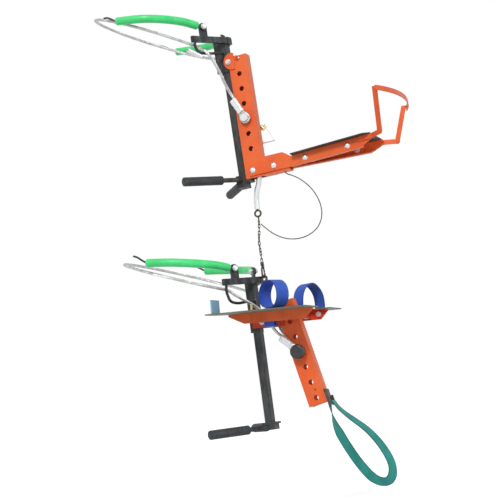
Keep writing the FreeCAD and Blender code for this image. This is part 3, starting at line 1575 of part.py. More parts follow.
# The pull strap's path: X and height from the middle of the fitting's bar, round it and down to the loop.
PULL_LOOP = (
    (-5.2, 5.2), (-5.2, -6), (0, -52), (21, -102), (50, -156), (82, -198), (120, -206),
    (134, -170), (116, -122), (84, -76), (42, -40), (13.2, -12), (5.2, 5.2),
)


def make_pull_strap():
    """A webbing loop through a fitting at the foot of the foot lever."""
    back = size("foot_lever_start") + size("lever_width")
    bottom = -size("foot_lever_drop")
    wall = size("fitting_wall")
    width = size("pull_width")
    lug_half = width / 2 + size("fitting_side_gap") + wall
    reach = size("fitting_lug_reach")
    tall = size("fitting_lug_half")
    bar_middle = Vector(back + size("fitting_bar_reach"), 0, bottom - size("fitting_bar_drop"))
    base = Part.makeBox(wall, 2 * lug_half, size("fitting_height"), Vector(back, -lug_half, bottom))
    pieces = [
        box_on_side(side, (back, back + reach), (lug_half - wall, lug_half), (bottom - tall, bottom + tall))
        for side in SIDES
    ]
    bar_start = bar_middle - Vector(0, lug_half, 0)
    pieces.append(Part.makeCylinder(size("fitting_bar"), 2 * lug_half, bar_start, Vector(0, 1, 0)))
    fitting = base.multiFuse(pieces).removeSplitter()
    finish(solid("pull_fitting_shape", fitting), "pull_strap_fitting", lever_frame)
    frame = Placement(Vector(size("foot_pivot_x"), 0, size("foot_pivot_z")),
                      Rotation(Vector(0, 1, 0), size("lever_lean")))
    centre = frame.multVec(bar_middle)
    path = [centre + Vector(x, 0, z) for x, z in PULL_LOOP]
    strap = closed_band(path, size("pull_wall"), Vector(0, width, 0))
    finish(solid("pull_strap_shape", strap), "pull_strap")


make_pull_strap()

# The tether between the units: sleeve, ring, chain and snap hook. The sleeve's points are X and depth from
# its top; the chain's are its share of the way down and its sway from the straight line.
SLEEVE_POINTS = ((-3.5, 18), (-10.5, 32), (-16, 54), (-17, 82))
SLEEVE_FIT = 0.3
CHAIN_SWAY = ((0.16, 0.6), (0.35, -1.5), (0.56, -4.0), (0.79, -1.0))


def snap_top():
    """The top of the snap hook's barrel, over its eye on the foot unit, in the part's own frame."""
    return world_of("lower", snap_eye()) + Vector(0, 0, size("snap_length"))


def make_tether():
    lug_bottom = tether_lug_top() - size("lug_wall")
    top = world_of("upper", Vector(size("tether_x") - 1, 0, lug_bottom))
    sleeve_path = [top] + [top + Vector(x, 0, -depth) for x, depth in SLEEVE_POINTS]
    shape = tube(sleeve_path, size("sleeve_radius"), "tether sleeve")
    foot = sleeve_path[-1]
    tall = top.z - foot.z + SLEEVE_FIT
    window = Part.makeBox(tall, tall, tall, Vector(foot.x - tall / 2, -tall / 2, top.z - SLEEVE_FIT - tall))
    finish(solid("tether_sleeve_shape", shape.common(window)), "tether_sleeve")
    wire = size("ring_wire")
    major = size("ring_radius")
    ring_middle = foot - Vector(0, 0, major + wire + size("rest_gap"))
    ring = Part.makeTorus(major, wire, ring_middle, Vector(0, 1, 0))
    finish(solid("tether_ring_shape", ring), "tether_ring")
    chain_top = ring_middle - Vector(0, 0, major + wire + size("link_gap"))
    chain_end = snap_top() + Vector(0, 0, size("link_gap"))
    fall = chain_end - chain_top
    chain_path = [chain_top + fall * share + Vector(sway, 0, 0) for share, sway in CHAIN_SWAY]
    chain = tube([chain_top] + chain_path + [chain_end], size("chain_radius"), "tether chain")
    finish(solid("tether_chain_shape", chain), "tether_chain")


def make_snap_hook():
    """A wire snap hook in the YZ plane, through an eye lug on the lower yoke, with a hinged gate."""
    wire = size("snap_wire")
    half = size("snap_half")
    top = snap_top()
    eye = world_of("lower", snap_eye())
    neck = top - Vector(0, 0, size("snap_barrel_height"))
    sole = eye.z + size("snap_lug_hole") - wire - size("link_gap")
    shoulder = size("snap_shoulder")
    barrel = Part.makeCylinder(size("snap_barrel_radius"), size("snap_barrel_height"), neck)
    mouth = Vector(eye.x, half, sole + size("snap_mouth"))
    path = [
        neck + Vector(0, 0, wire), neck + Vector(0, -1.5, -wire), Vector(eye.x, -half, neck.z - shoulder),
        Vector(eye.x, -half, sole), Vector(eye.x, half, sole), mouth,
    ]
    hook = tube(path, wire, "snap hook").fuse(barrel).removeSplitter()
    finish(solid("snap_hook_shape", hook), "snap_hook")
    radius = size("gate_radius")
    hinge = Vector(eye.x, half - size("gate_offset"), neck.z - size("gate_drop"))
    gate = cylinder_between(radius, mouth + Vector(0, 0, size("gate_gap")), hinge)
    knuckle = Part.makeCylinder(radius, 2 * wire, hinge - Vector(wire, 0, 0), Vector(1, 0, 0))
    finish(solid("snap_gate_shape", gate.fuse(knuckle).removeSplitter()), "snap_gate")


make_tether()
make_snap_hook()

# The safety wire leaves the stub's underside, swings round and ends beside the chain: X and Z of its points.
WIRE_POINTS = (
    (324, -3), (346, -17), (371, -44), (388, -78), (392, -113), (380, -143), (354, -161), (322, -167),
    (290, -162), (262, -148), (240, -129), (224.4, -111),
)


def make_safety_wire():
    start = world_of("upper", Vector(size("wire_exit_x"), 0, -size("seat_lever_drop") - size("link_gap")))
    path = [start, start - Vector(0, 0, size("wire_drop"))] + [Vector(x, 0, z) for x, z in WIRE_POINTS]
    finish(solid("safety_wire_shape", tube(path, size("wire_radius"), "safety wire")), "safety_wire")


make_safety_wire()

# Check every object, then write one file for each sub-part.
doc.recompute()
broken = [item.Name for item in doc.Objects if "Invalid" in item.State or "Error" in item.State]
if broken:
    raise RuntimeError("failed objects: " + ", ".join(broken))
os.makedirs("parts", exist_ok=True)
for part in sub_parts:
    shape = part.Shape
    if shape.isNull() or not shape.isValid() or not shape.Solids:
        raise RuntimeError(f"bad shape: {part.Label}")
for part in sub_parts:
    part.Shape.exportStep(f"parts/{part.Label}.step")
    print(part.Label, len(part.Shape.Solids), f"{part.Shape.Volume:.0f}")
print(len(sub_parts), "sub-parts")
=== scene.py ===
import json
import math

import bpy
import numpy as np
from mathutils import Matrix, Vector


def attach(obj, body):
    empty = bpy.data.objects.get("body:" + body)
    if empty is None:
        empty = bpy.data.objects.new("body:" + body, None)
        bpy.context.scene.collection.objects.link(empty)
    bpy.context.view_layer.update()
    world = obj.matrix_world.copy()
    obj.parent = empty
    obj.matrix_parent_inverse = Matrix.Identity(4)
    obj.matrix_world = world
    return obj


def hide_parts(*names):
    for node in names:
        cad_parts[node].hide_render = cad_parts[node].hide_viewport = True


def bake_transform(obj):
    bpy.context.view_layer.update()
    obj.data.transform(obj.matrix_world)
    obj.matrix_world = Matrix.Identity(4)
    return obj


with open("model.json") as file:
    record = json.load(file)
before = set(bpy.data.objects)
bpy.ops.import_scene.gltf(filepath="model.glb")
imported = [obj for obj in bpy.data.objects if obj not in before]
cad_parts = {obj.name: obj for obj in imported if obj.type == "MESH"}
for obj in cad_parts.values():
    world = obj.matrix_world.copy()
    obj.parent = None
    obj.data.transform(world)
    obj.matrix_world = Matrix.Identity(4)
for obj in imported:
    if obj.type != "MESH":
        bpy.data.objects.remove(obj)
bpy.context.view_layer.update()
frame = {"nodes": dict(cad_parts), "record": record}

NEAR = -1
FAR = 1
SIDES = (NEAR, FAR)
MM = 0.001


# Frames of the hinged units, tilted about Y, for points given in millimetres.
def tilted(x, z, degrees):
    return Matrix.Translation((x, 0, z)) @ Matrix.Rotation(math.radians(degrees), 4, "Y")


SEAT = tilted(0.200, 0.320, -1.1)
LOWER = tilted(0.198, -0.359, 0.0)
FOOT = tilted(0.198, -0.359, 3.5)
LEVER = tilted(0.198, -0.359, -12.0)
UNIT = {"upper": SEAT, "lower": LOWER}


def at(place, x, y, z):
    """A point of one frame, given in millimetres."""
    return place @ (Vector((x, y, z)) * MM)


def heading(place, x, y, z):
    """A direction of one frame."""
    return (place.to_3x3() @ Vector((x, y, z))).normalized()


# Camera: it stands low on the near right, looks up a little, and leans with the tree.
AZIMUTH = 22.0
LOOK_UP = 7.7
ROLL = 7.6
FOCAL_PIXELS = 1200.0
IMAGE_PIXELS = 500.0
SENSOR = 36.0
CAMERA_PLACE = (1.322, -2.814, -0.582)


def make_camera():
    camera = bpy.data.objects.new("camera", bpy.data.cameras.new("camera"))
    bpy.context.scene.collection.objects.link(camera)
    azimuth, pitch, roll = (math.radians(angle) for angle in (AZIMUTH, LOOK_UP, ROLL))
    level = Vector((-math.sin(azimuth), math.cos(azimuth), 0))
    across = Vector((math.cos(azimuth), math.sin(azimuth), 0))
    rise = Vector((0, 0, 1))
    forward = level * math.cos(pitch) + rise * math.sin(pitch)
    upright = rise * math.cos(pitch) - level * math.sin(pitch)
    right = across * math.cos(roll) - upright * math.sin(roll)
    up = across * math.sin(roll) + upright * math.cos(roll)
    axes = Matrix((right, up, -forward)).transposed()
    camera.matrix_world = Matrix.Translation(CAMERA_PLACE) @ axes.to_4x4()
    camera.data.sensor_width = SENSOR
    camera.data.lens = FOCAL_PIXELS / IMAGE_PIXELS * SENSOR
    camera.data.clip_start = 0.05
    camera.data.clip_end = 100.0
    bpy.context.scene.camera = camera


make_camera()


# Lines and swept forms.
def route_line(points, step=0.004):
    """Evenly spaced points of the smooth curve that has these control points."""
    curve = bpy.data.curves.new("route", "CURVE")
    curve.dimensions = "3D"
    curve.resolution_u = 24
    spline = curve.splines.new("NURBS")
    spline.points.add(len(points) - 1)
    for place, point in zip(spline.points, points):
        place.co = (*point, 1.0)
    spline.order_u = 3
    spline.use_endpoint_u = True
    holder = bpy.data.objects.new("route", curve)
    mesh = bpy.data.meshes.new_from_object(holder)
    line = np.array([tuple(vertex.co) for vertex in mesh.vertices])
    bpy.data.meshes.remove(mesh)
    bpy.data.curves.remove(curve)
    return evenly(line, step)


def evenly(line, step):
    line = np.asarray(line, float)
    along = np.concatenate([[0], np.cumsum(np.linalg.norm(np.diff(line, axis=0), axis=1))])
    places = np.linspace(0, along[-1], max(2, math.ceil(along[-1] / step) + 1))
    return np.stack([np.interp(places, along, line[:, axis]) for axis in range(3)], axis=1)


def length_of(line):
    return float(np.linalg.norm(np.diff(line, axis=0), axis=1).sum())


def unit_rows(rows):
    return rows / np.linalg.norm(rows, axis=1)[:, None]


def directions_along(line, across, closed=False):
    """Tangents of a line, and two directions square to them that turn as little as they can."""
    if closed:
        tangents = unit_rows(np.roll(line, -1, axis=0) - np.roll(line, 1, axis=0))
    else:
        tangents = unit_rows(np.gradient(line, axis=0))
    side = np.array(across, float)
    sides = []
    for tangent in tangents:
        side = side - tangent * np.dot(side, tangent)
        side = side / np.linalg.norm(side)
        sides.append(side)
    sides = np.array(sides)
    return tangents, sides, np.cross(tangents, sides)


def both_ways(sizes):
    """The same scale across and through an outline, at each point of a line."""
    return np.array(sizes)[:, None] * [1, 1]


def circle(count):
    angles = np.arange(count) * 2 * math.pi / count
    return np.stack([np.cos(angles), np.sin(angles)], axis=1)


class Form:
    """Points and faces of one piece, with each point's place along and across it in millimetres."""

    def __init__(self):
        self.points = []
        self.faces = []
        self.places = []

    def sweep(self, line, outline, across=(0, 1, 0), sizes=None, turns=None, closed=False, sides=None):
        """Sweep a closed outline along a line; sizes scale it and turns rotate it at each point."""
        line = np.asarray(line, float)
        count = len(line)
        tangents, first, second = directions_along(line, across, closed)
        if sides is not None:
            first = unit_rows(np.asarray(sides, float))
            first = unit_rows(first - tangents * (first * tangents).sum(1)[:, None])
            second = np.cross(tangents, first)
        scale = np.ones((count, 2)) if sizes is None else np.asarray(sizes, float).reshape(count, -1)
        turned = np.zeros(count) if turns is None else np.asarray(turns, float)
        along = np.concatenate([[0], np.cumsum(np.linalg.norm(np.diff(line, axis=0), axis=1))])
        base = len(self.points)
        around = len(outline)
        for index in range(count):
            c, s = math.cos(turned[index]), math.sin(turned[index])
            flat = np.asarray(outline) * scale[index]
            u = flat[:, 0] * c - flat[:, 1] * s
            v = flat[:, 0] * s + flat[:, 1] * c
            ring = line[index] + u[:, None] * first[index] + v[:, None] * second[index]
            self.points.extend(map(tuple, ring))
            self.places.extend((along[index] / MM, x / MM, y / MM) for x, y in flat)
        last = count if closed else count - 1
        for index in range(last):
            here = base + index * around
            there = base + ((index + 1) % count) * around
            for corner in range(around):
                beyond = (corner + 1) % around
                self.faces.append((here + corner, here + beyond, there + beyond, there + corner))
        if not closed:
            self.faces.append(tuple(base + corner for corner in reversed(range(around))))
            self.faces.append(tuple(base + (count - 1) * around + corner for corner in range(around)))
        return self

    def tube(self, line, radius, around=12, rounding=0.0):
        """A round tube, with its rims rounded where asked."""
        line = np.asarray(line, float)
        if not rounding:
            return self.sweep(line, circle(around) * radius, across=square_to(line[1] - line[0]))
        bends = [math.radians(angle) for angle in (0, 30, 60, 90)]
        start = (line[1] - line[0]) / np.linalg.norm(line[1] - line[0])
        end = (line[-1] - line[-2]) / np.linalg.norm(line[-1] - line[-2])
        inner = list(line[1:-1])
        head = [line[0] + start * rounding * (1 - math.cos(bend)) for bend in bends]
        foot = [line[-1] - end * rounding * (1 - math.cos(bend)) for bend in reversed(bends)]
        rim = [(radius - rounding + rounding * math.sin(bend)) for bend in bends]
        sizes = rim + [radius] * len(inner) + rim[::-1]
        return self.sweep(head + inner + foot, circle(around), square_to(start), both_ways(sizes))

    def sleeve(self, line, radius, bore, around=24):
        """A hollow tube with rounded rims."""
        line = np.asarray(line, float)
        tangents, first, second = directions_along(line, square_to(line[1] - line[0]))
        wall = (radius - bore) / 2
        rims = [(bore + wall - wall * math.cos(math.radians(angle)), wall * math.sin(math.radians(angle)))
                for angle in range(0, 181, 30)]
        rings = [(index, bore, 0.0) for index in reversed(range(1, len(line) - 1))]
        rings += [(0, rim, wall - rise) for rim, rise in rims]
        rings += [(index, radius, 0.0) for index in range(1, len(line) - 1)]
        rings += [(len(line) - 1, rim, rise - wall) for rim, rise in reversed(rims)]
        base = len(self.points)
        for index, size, shift in rings:
            for c, s in circle(around):
                point = line[index] + tangents[index] * shift + size * (c * first[index] + s * second[index])
                self.points.append(tuple(point))
                self.places.append((index, c, s))
        for index in range(len(rings)):
            here = base + index * around
            there = base + (index + 1) % len(rings) * around
            for corner in range(around):
                beyond = (corner + 1) % around
                self.faces.append((here + corner, here + beyond, there + beyond, there + corner))
        return self

    def turned(self, start, along, profile, around=24):
        """A turned form: pairs of distance along the axis and radius."""
        start = np.array(start, float)
        along = np.array(along, float) / np.linalg.norm(along)
        line = [start + along * distance for distance, _ in profile]
        base = len(self.points)
        side = square_to(along)
        other = np.cross(along, side)
        for (distance, radius), middle in zip(profile, line):
            for c, s in circle(around):
                self.points.append(tuple(middle + radius * (c * side + s * other)))
                self.places.append((distance / MM, c, s))
        for index in range(len(profile) - 1):
            here = base + index * around
            there = here + around
            for corner in range(around):
                beyond = (corner + 1) % around
                self.faces.append((here + corner, here + beyond, there + beyond, there + corner))
        self.faces.append(tuple(base + corner for corner in reversed(range(around))))
        self.faces.append(tuple(base + (len(profile) - 1) * around + corner for corner in range(around)))
        return self

    def strands(self, line, radius, count=6, lay=0.045, around=8):
        """Wires laid round a rope's line, with a core between them."""
        line = np.asarray(line, float)
        _, first, second = directions_along(line, square_to(line[1] - line[0]))
        along = np.concatenate([[0], np.cumsum(np.linalg.norm(np.diff(line, axis=0), axis=1))])
        wire = radius / (1 + 1 / math.sin(math.pi / count)) * 1.04
        reach = radius - wire
        for index in range(count):
            angle = along / lay * 2 * math.pi + index * 2 * math.pi / count
            path = line + reach * (np.cos(angle)[:, None] * first + np.sin(angle)[:, None] * second)
            self.sweep(path, circle(around) * wire, across=square_to(path[1] - path[0]))
        self.sweep(line, circle(around) * reach, across=square_to(line[1] - line[0]))
        return self

    def ribbon(self, line, sides, width, wall, closed=False):
        """Webbing: a flat band whose width follows the given directions, with rounded selvedges."""
        half, thick = width / 2, wall / 2
        outline = [(-half + 0.25 * thick, -thick), (half - 0.25 * thick, -thick), (half, -0.5 * thick),
                   (half, 0.5 * thick), (half - 0.25 * thick, thick), (-half + 0.25 * thick, thick),
                   (-half, 0.5 * thick), (-half, -0.5 * thick)]
        across = np.linspace(-half, half, 9)[1:-1]
        outline = ([outline[0]] + [(x, -thick) for x in across] + outline[1:5]
                   + [(x, thick) for x in across[::-1]] + outline[5:])
        return self.sweep(line, outline, closed=closed, sides=sides)

    def piece(self, name, body, slot, material, replaces=(), smooth=35.0):
        """Make the object, ride it on its body and give it its material."""
        mesh = bpy.data.meshes.new(name)
        mesh.from_pydata(self.points, [], self.faces)
        mesh.validate()
        mesh.update()
        if len(mesh.vertices) == len(self.places):
            attribute = mesh.attributes.new("strap_place", "FLOAT_VECTOR", "POINT")
            attribute.data.foreach_set("vector", np.array(self.places, np.float32).ravel())
        mesh.polygons.foreach_set("use_smooth", [True] * len(mesh.polygons))
        mesh.set_sharp_from_angle(angle=math.radians(smooth))
        made = bpy.data.objects.new(name, mesh)
        bpy.context.scene.collection.objects.link(made)
        made.data.materials.append(material)
        if isinstance(body, str):
            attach(made, body)
        if replaces:
            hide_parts(*replaces)
        return made


def square_to(direction):
    """Some direction square to the given one."""
    direction = np.array(direction, float)
    steep = abs(direction[2]) >= 0.9 * np.linalg.norm(direction)
    helper = np.array((1.0, 0.0, 0.0)) if steep else np.array((0.0, 0.0, 1.0))
    side = np.cross(direction, helper)
    return side / np.linalg.norm(side)


# Materials: every surface has its own colour variation, wear and fine relief.
class Finish:
    """A node material built by small steps; coordinates are the object's own, in metres."""

    def __init__(self, name, roughness=0.5, metallic=0.0, specular=0.5):
        self.material = bpy.data.materials.new(name)
        self.material.use_nodes = True
        self.tree = self.material.node_tree
        self.shader = self.tree.nodes["Principled BSDF"]
        self.shader.inputs["Roughness"].default_value = roughness
        self.shader.inputs["Metallic"].default_value = metallic
        self.shader.inputs["Specular IOR Level"].default_value = specular
        self.coordinates = self.node("ShaderNodeTexCoord").outputs["Object"]
        self.relief = None

    def node(self, kind, **settings):
        made = self.tree.nodes.new(kind)
        for key, value in settings.items():
            setattr(made, key, value)
        return made

    def join(self, source, target):
        self.tree.links.new(source, target)

    def feed(self, socket, value):
        if isinstance(value, bpy.types.NodeSocket):
            self.join(value, socket)
        else:
            socket.default_value = value

    def stretched(self, x, y, z):
        mapping = self.node("ShaderNodeMapping")
        self.join(self.coordinates, mapping.inputs["Vector"])
        mapping.inputs["Scale"].default_value = (x, y, z)
        return mapping.outputs["Vector"]

    def noise(self, scale, detail=4.0, rough=0.6, vector=None, distortion=0.0):
        made = self.node("ShaderNodeTexNoise")
        self.join(vector or self.coordinates, made.inputs["Vector"])
        settings = {"Scale": scale, "Detail": detail, "Roughness": rough, "Distortion": distortion}
        for name, value in settings.items():
            made.inputs[name].default_value = value
        return made.outputs["Fac"]

    def spots(self, scale, vector=None):
        made = self.node("ShaderNodeTexVoronoi")
        self.join(vector or self.coordinates, made.inputs["Vector"])
        made.inputs["Scale"].default_value = scale
        return made.outputs["Distance"]

    def ramp(self, value, low, high, dark=0.0, bright=1.0):
        made = self.node("ShaderNodeMapRange")
        for name, number in (("From Min", low), ("From Max", high), ("To Min", dark), ("To Max", bright)):
            made.inputs[name].default_value = number
        self.join(value, made.inputs["Value"])
        return made.outputs["Result"]

    def sum(self, kind, first, second):
        made = self.node("ShaderNodeMath", operation=kind)
        self.feed(made.inputs[0], first)
        self.feed(made.inputs[1], second)
        return made.outputs["Value"]

    def mix(self, share, first, second):
        made = self.node("ShaderNodeMix", data_type="RGBA")
        self.feed(made.inputs["Factor"], share)
        for name, value in (("A", first), ("B", second)):
            socket = [item for item in made.inputs if item.name == name and item.type == "RGBA"][0]
            self.feed(socket, (*value, 1.0) if isinstance(value, tuple) else value)
        return [item for item in made.outputs if item.type == "RGBA"][0]

    def edges(self, radius):
        """A mask of the edges, from how far the rounded normal turns from the true one."""
        bevel = self.node("ShaderNodeBevel", samples=4)
        bevel.inputs["Radius"].default_value = radius
        geometry = self.node("ShaderNodeNewGeometry")
        dot = self.node("ShaderNodeVectorMath", operation="DOT_PRODUCT")
        self.join(bevel.outputs["Normal"], dot.inputs[0])
        self.join(geometry.outputs["Normal"], dot.inputs[1])
        return self.ramp(dot.outputs["Value"], 0.995, 0.80)

    def bump(self, height, strength, distance):
        made = self.node("ShaderNodeBump")
        made.inputs["Strength"].default_value = strength
        made.inputs["Distance"].default_value = distance
        self.join(height, made.inputs["Height"])
        if self.relief is not None:
            self.join(self.relief, made.inputs["Normal"])
        self.relief = made.outputs["Normal"]

    def soften(self, radius):
        """Round the edges in the shading."""
        bevel = self.node("ShaderNodeBevel", samples=4)
        bevel.inputs["Radius"].default_value = radius
        self.relief = bevel.outputs["Normal"]

    def done(self, colour, roughness=None):
        self.join(colour, self.shader.inputs["Base Color"])
        if roughness is not None:
            self.join(roughness, self.shader.inputs["Roughness"])
        if self.relief is not None:
            self.join(self.relief, self.shader.inputs["Normal"])
        return self.material


def painted(name, colour, faded, bare, wear=0.5, gloss=0.38, dirt=(0.05, 0.035, 0.02), dirty=0.3):
    """Enamel over steel: faded patches, dust in streaks, chipped edges and an orange-peel skin."""
    finish = Finish(name)
    finish.soften(0.0007)
    patches = finish.ramp(finish.noise(9.0, 3.0), 0.38, 0.68)
    body = finish.mix(patches, colour, faded)
    streaks = finish.noise(30.0, 6.0, 0.7, finish.stretched(1.0, 1.0, 0.25))
    soiled = finish.sum("MULTIPLY", finish.ramp(streaks, 0.50, 0.78), dirty)
    body = finish.mix(soiled, body, dirt)
    chips = finish.ramp(finish.noise(160.0, 5.0, 0.65), 0.52, 0.60)
    worn = finish.sum("MULTIPLY", finish.edges(0.0016), finish.sum("MULTIPLY", chips, wear))
    scratches = finish.ramp(finish.noise(55.0, 8.0, 0.75, finish.stretched(6.0, 6.0, 0.7), 0.4), 0.70, 0.735)
    marks = finish.sum("MAXIMUM", worn, finish.sum("MULTIPLY", scratches, wear * 0.5))
    body = finish.mix(marks, body, bare)
    finish.bump(finish.noise(700.0, 2.0), 0.10, 0.0004)
    finish.bump(marks, 0.25, -0.0003)
    matted = finish.ramp(streaks, 0.3, 0.8, gloss, gloss + 0.14)
    rough = finish.sum("ADD", finish.sum("MULTIPLY", soiled, 0.8), matted)
    return finish.done(body, rough)


def steel(name, dark, light, rust, rusty, rough=0.5, metallic=0.55):
    """Black-painted or bare dark steel with rubbed, rusted and dusty places."""
    finish = Finish(name, metallic=metallic)
    finish.soften(0.0007)
    rubbed = finish.ramp(finish.noise(24.0, 6.0, 0.7, finish.stretched(2.0, 2.0, 0.5)), 0.42, 0.72)
    body = finish.mix(rubbed, dark, light)
    rusted = finish.sum("MULTIPLY", finish.ramp(finish.noise(15.0, 7.0, 0.7), 0.50, 0.66), rusty)
    body = finish.mix(rusted, body, rust)
    broken = finish.ramp(finish.noise(120.0, 4.0), 0.42, 0.62, 0.0, 0.55)
    bright = finish.sum("MULTIPLY", finish.edges(0.0014), broken)
    body = finish.mix(bright, body, (0.30, 0.30, 0.29))
    finish.bump(finish.noise(320.0, 5.0), 0.16, 0.0005)
    return finish.done(body, finish.ramp(rubbed, 0.0, 1.0, rough + 0.1, rough - 0.12))


def plated(name, pale, dull, tint, tinted=0.0, rough=0.30):
    """Zinc plating: crystalline mottling with dull patches."""
    finish = Finish(name, metallic=0.85)
    finish.soften(0.0004)
    flakes = finish.ramp(finish.spots(420.0), 0.1, 0.8)
    cloud = finish.ramp(finish.noise(60.0, 5.0), 0.35, 0.7)
    body = finish.mix(finish.sum("MULTIPLY", flakes, 0.5), pale, dull)
    body = finish.mix(finish.sum("MULTIPLY", cloud, 0.45), body, dull)
    if tinted:
        stained = finish.ramp(finish.noise(90.0), 0.4, 0.6)
        body = finish.mix(finish.sum("MULTIPLY", stained, tinted), body, tint)
    finish.bump(flakes, 0.10, 0.0002)
    return finish.done(body, finish.ramp(cloud, 0.0, 1.0, rough, rough + 0.16))


def moulded(name, colour, pale, rough, grain=900.0, dusty=0.2, dust=(0.30, 0.29, 0.26)):
    """Rubber or plastic with a fine grain and dust on it."""
    finish = Finish(name)
    body = finish.mix(finish.ramp(finish.noise(40.0, 4.0), 0.35, 0.7), colour, pale)
    settled = finish.ramp(finish.noise(75.0, 7.0, 0.7), 0.55, 0.75)
    body = finish.mix(finish.sum("MULTIPLY", settled, dusty), body, dust)
    finish.bump(finish.noise(grain, 3.0), 0.18, 0.0003)
    return finish.done(body, finish.ramp(finish.noise(55.0), 0.3, 0.7, rough - 0.06, rough + 0.1))


def woven(name, colour, pale, edge, half_width, thread=1.3):
    """Webbing: warp and weft in relief, with painted shade in the weave's hollows and paler raised threads,
    darker selvedges, and a soft sheen.
    """
    finish = Finish(name, roughness=0.7, specular=0.3)
    finish.shader.inputs["Sheen Weight"].default_value = 0.12
    finish.shader.inputs["Sheen Roughness"].default_value = 0.5
    place = finish.node("ShaderNodeAttribute", attribute_name="strap_place").outputs["Vector"]
    apart = finish.node("ShaderNodeSeparateXYZ")
    finish.join(place, apart.inputs["Vector"])
    turn_size = 2 * math.pi / thread
    warp = finish.sum("SINE", finish.sum("MULTIPLY", apart.outputs["Y"], turn_size), 0.0)
    diagonal = finish.sum("ADD", apart.outputs["X"], finish.sum("MULTIPLY", apart.outputs["Y"], 0.5))
    weft = finish.sum("SINE", finish.sum("MULTIPLY", diagonal, turn_size), 0.0)
    height = finish.ramp(finish.sum("ADD", warp, weft), -2.0, 2.0)
    # Painted shade: the weave's hollows get the darker colour and its raised threads the paler one.
    body = finish.mix(height, colour, pale)
    soiled = finish.ramp(finish.noise(35.0, 5.0), 0.42, 0.7)
    body = finish.mix(finish.sum("MULTIPLY", soiled, 0.35), body, edge)
    reach = finish.sum("ABSOLUTE", apart.outputs["Y"], 0.0)
    selvedge = finish.ramp(reach, half_width - 2.2, half_width - 1.2, 0.0, 0.55)
    body = finish.mix(selvedge, body, edge)
    finish.bump(height, 0.35, 0.0005)
    return finish.done(body)


DARK_METAL = (0.10, 0.085, 0.075)
MATERIALS = {
    "orange_paint": painted(
        "orange_enamel", (0.80, 0.105, 0.012), (0.88, 0.150, 0.030), DARK_METAL, 0.55,
    ),
    # Painted shade: a darker, redder copy of the orange enamel, for orange parts that lie in shadow.
    "red_paint": painted("shaded_orange_enamel", (0.56, 0.034, 0.008), (0.66, 0.065, 0.020), DARK_METAL, 0.6),
    "black_steel": steel(
        "black_steel", (0.020, 0.023, 0.026), (0.075, 0.083, 0.086), (0.11, 0.055, 0.022), 0.30,
    ),
    "dark_steel": steel(
        "dark_steel", (0.035, 0.033, 0.030), (0.16, 0.155, 0.14), (0.10, 0.055, 0.028), 0.45, 0.42, 0.8,
    ),
    "zinc_steel": plated("zinc_plate", (0.80, 0.82, 0.83), (0.50, 0.52, 0.54), (0.5, 0.5, 0.5)),
    "yellow_zinc": plated(
        "yellow_zinc", (0.80, 0.70, 0.26), (0.52, 0.42, 0.14), (0.62, 0.50, 0.50), 0.35,
    ),
    "wire_rope": plated(
        "galvanised_wire", (0.72, 0.74, 0.75), (0.38, 0.39, 0.40), (0.25, 0.22, 0.18), 0.4, 0.34,
    ),
    "dark_wire": steel(
        "dark_wire", (0.05, 0.045, 0.035), (0.16, 0.14, 0.11), (0.14, 0.08, 0.04), 0.4, 0.45, 0.8,
    ),
    "black_rubber": moulded("black_rubber", (0.013, 0.015, 0.019), (0.035, 0.039, 0.045), 0.62),
    "green_hose": moulded(
        "green_hose", (0.035, 0.66, 0.165), (0.075, 0.78, 0.25), 0.36, 500.0, 0.12,
    ),
    "black_plastic": moulded(
        "black_plastic", (0.012, 0.012, 0.013), (0.03, 0.03, 0.032), 0.34, 600.0, 0.12,
    ),
    "black_plate": painted(
        "black_plate", (0.020, 0.018, 0.017), (0.045, 0.038, 0.032), (0.16, 0.15, 0.13), 0.7, 0.45,
    ),
    "olive_plate": painted(
        "olive_plate", (0.12, 0.115, 0.085), (0.19, 0.18, 0.145), (0.30, 0.29, 0.26), 0.6, 0.5,
    ),
    "pale_blue_paint": painted(
        "pale_blue_enamel", (0.25, 0.52, 0.70), (0.40, 0.66, 0.80), (0.2, 0.22, 0.23), 0.4, 0.4,
    ),
    "blue_webbing": woven(
        "blue_webbing", (0.020, 0.075, 0.48), (0.060, 0.17, 0.75), (0.008, 0.018, 0.14), 19.0,
    ),
    "teal_webbing": woven(
        "teal_webbing", (0.010, 0.20, 0.175), (0.035, 0.36, 0.32), (0.004, 0.055, 0.045), 12.5,
    ),
}


def dress_frame():
    """Give every carried-over solid its material."""
    for part in frame["record"]["subparts"]:
        node = frame["nodes"][part["node"]]
        node.data.materials.clear()
        node.data.materials.append(MATERIALS[part["material_slot"]])


dress_frame()


def make(form, name, body, slot, replaces=(), smooth=35.0):
    return form.piece(name, body, slot, MATERIALS[slot], replaces, smooth)


# Safety wire: one loop of thin steel wire from the seat stub round to the chain.
WIRE_RADIUS = 1.5 * MM
WIRE_TOP = at(SEAT, 103, 0, -313.2)
WIRE_ROUTE = [WIRE_TOP, WIRE_TOP - Vector((0, 0, 0.005))] + [
    Vector(point) * MM for point in (
        (324, 0, -3), (346, 0, -17), (371, 0, -44), (388, 0, -78), (392, 0, -113), (380, 0, -143),
        (354, 0, -161), (322, 0, -167), (290, 0, -162), (262, 0, -148), (240, 0, -129), (224.4, 0, -111),
    )
]


def make_safety_wire():
    line = route_line(WIRE_ROUTE, 0.003)
    form = Form().strands(line, WIRE_RADIUS, 6, 0.018, 6)
    wire = make(form, "safety_wire_rope", None, "dark_wire", ["safety_wire"])
    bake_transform(wire)
    length_of(line)


make_safety_wire()

# Wire rope: a loop round the trunk in each unit, tails down to the lever, and eyes on the rope pins.
ROPE_RADIUS = 4.0 * MM
RING = 158.0
START_ANGLE = 33.4
LEVELS = {"upper": (368.0, 512.0), "lower": (-268.0, -152.0)}
LOOP_STEPS = 12
SWELL = 1.019


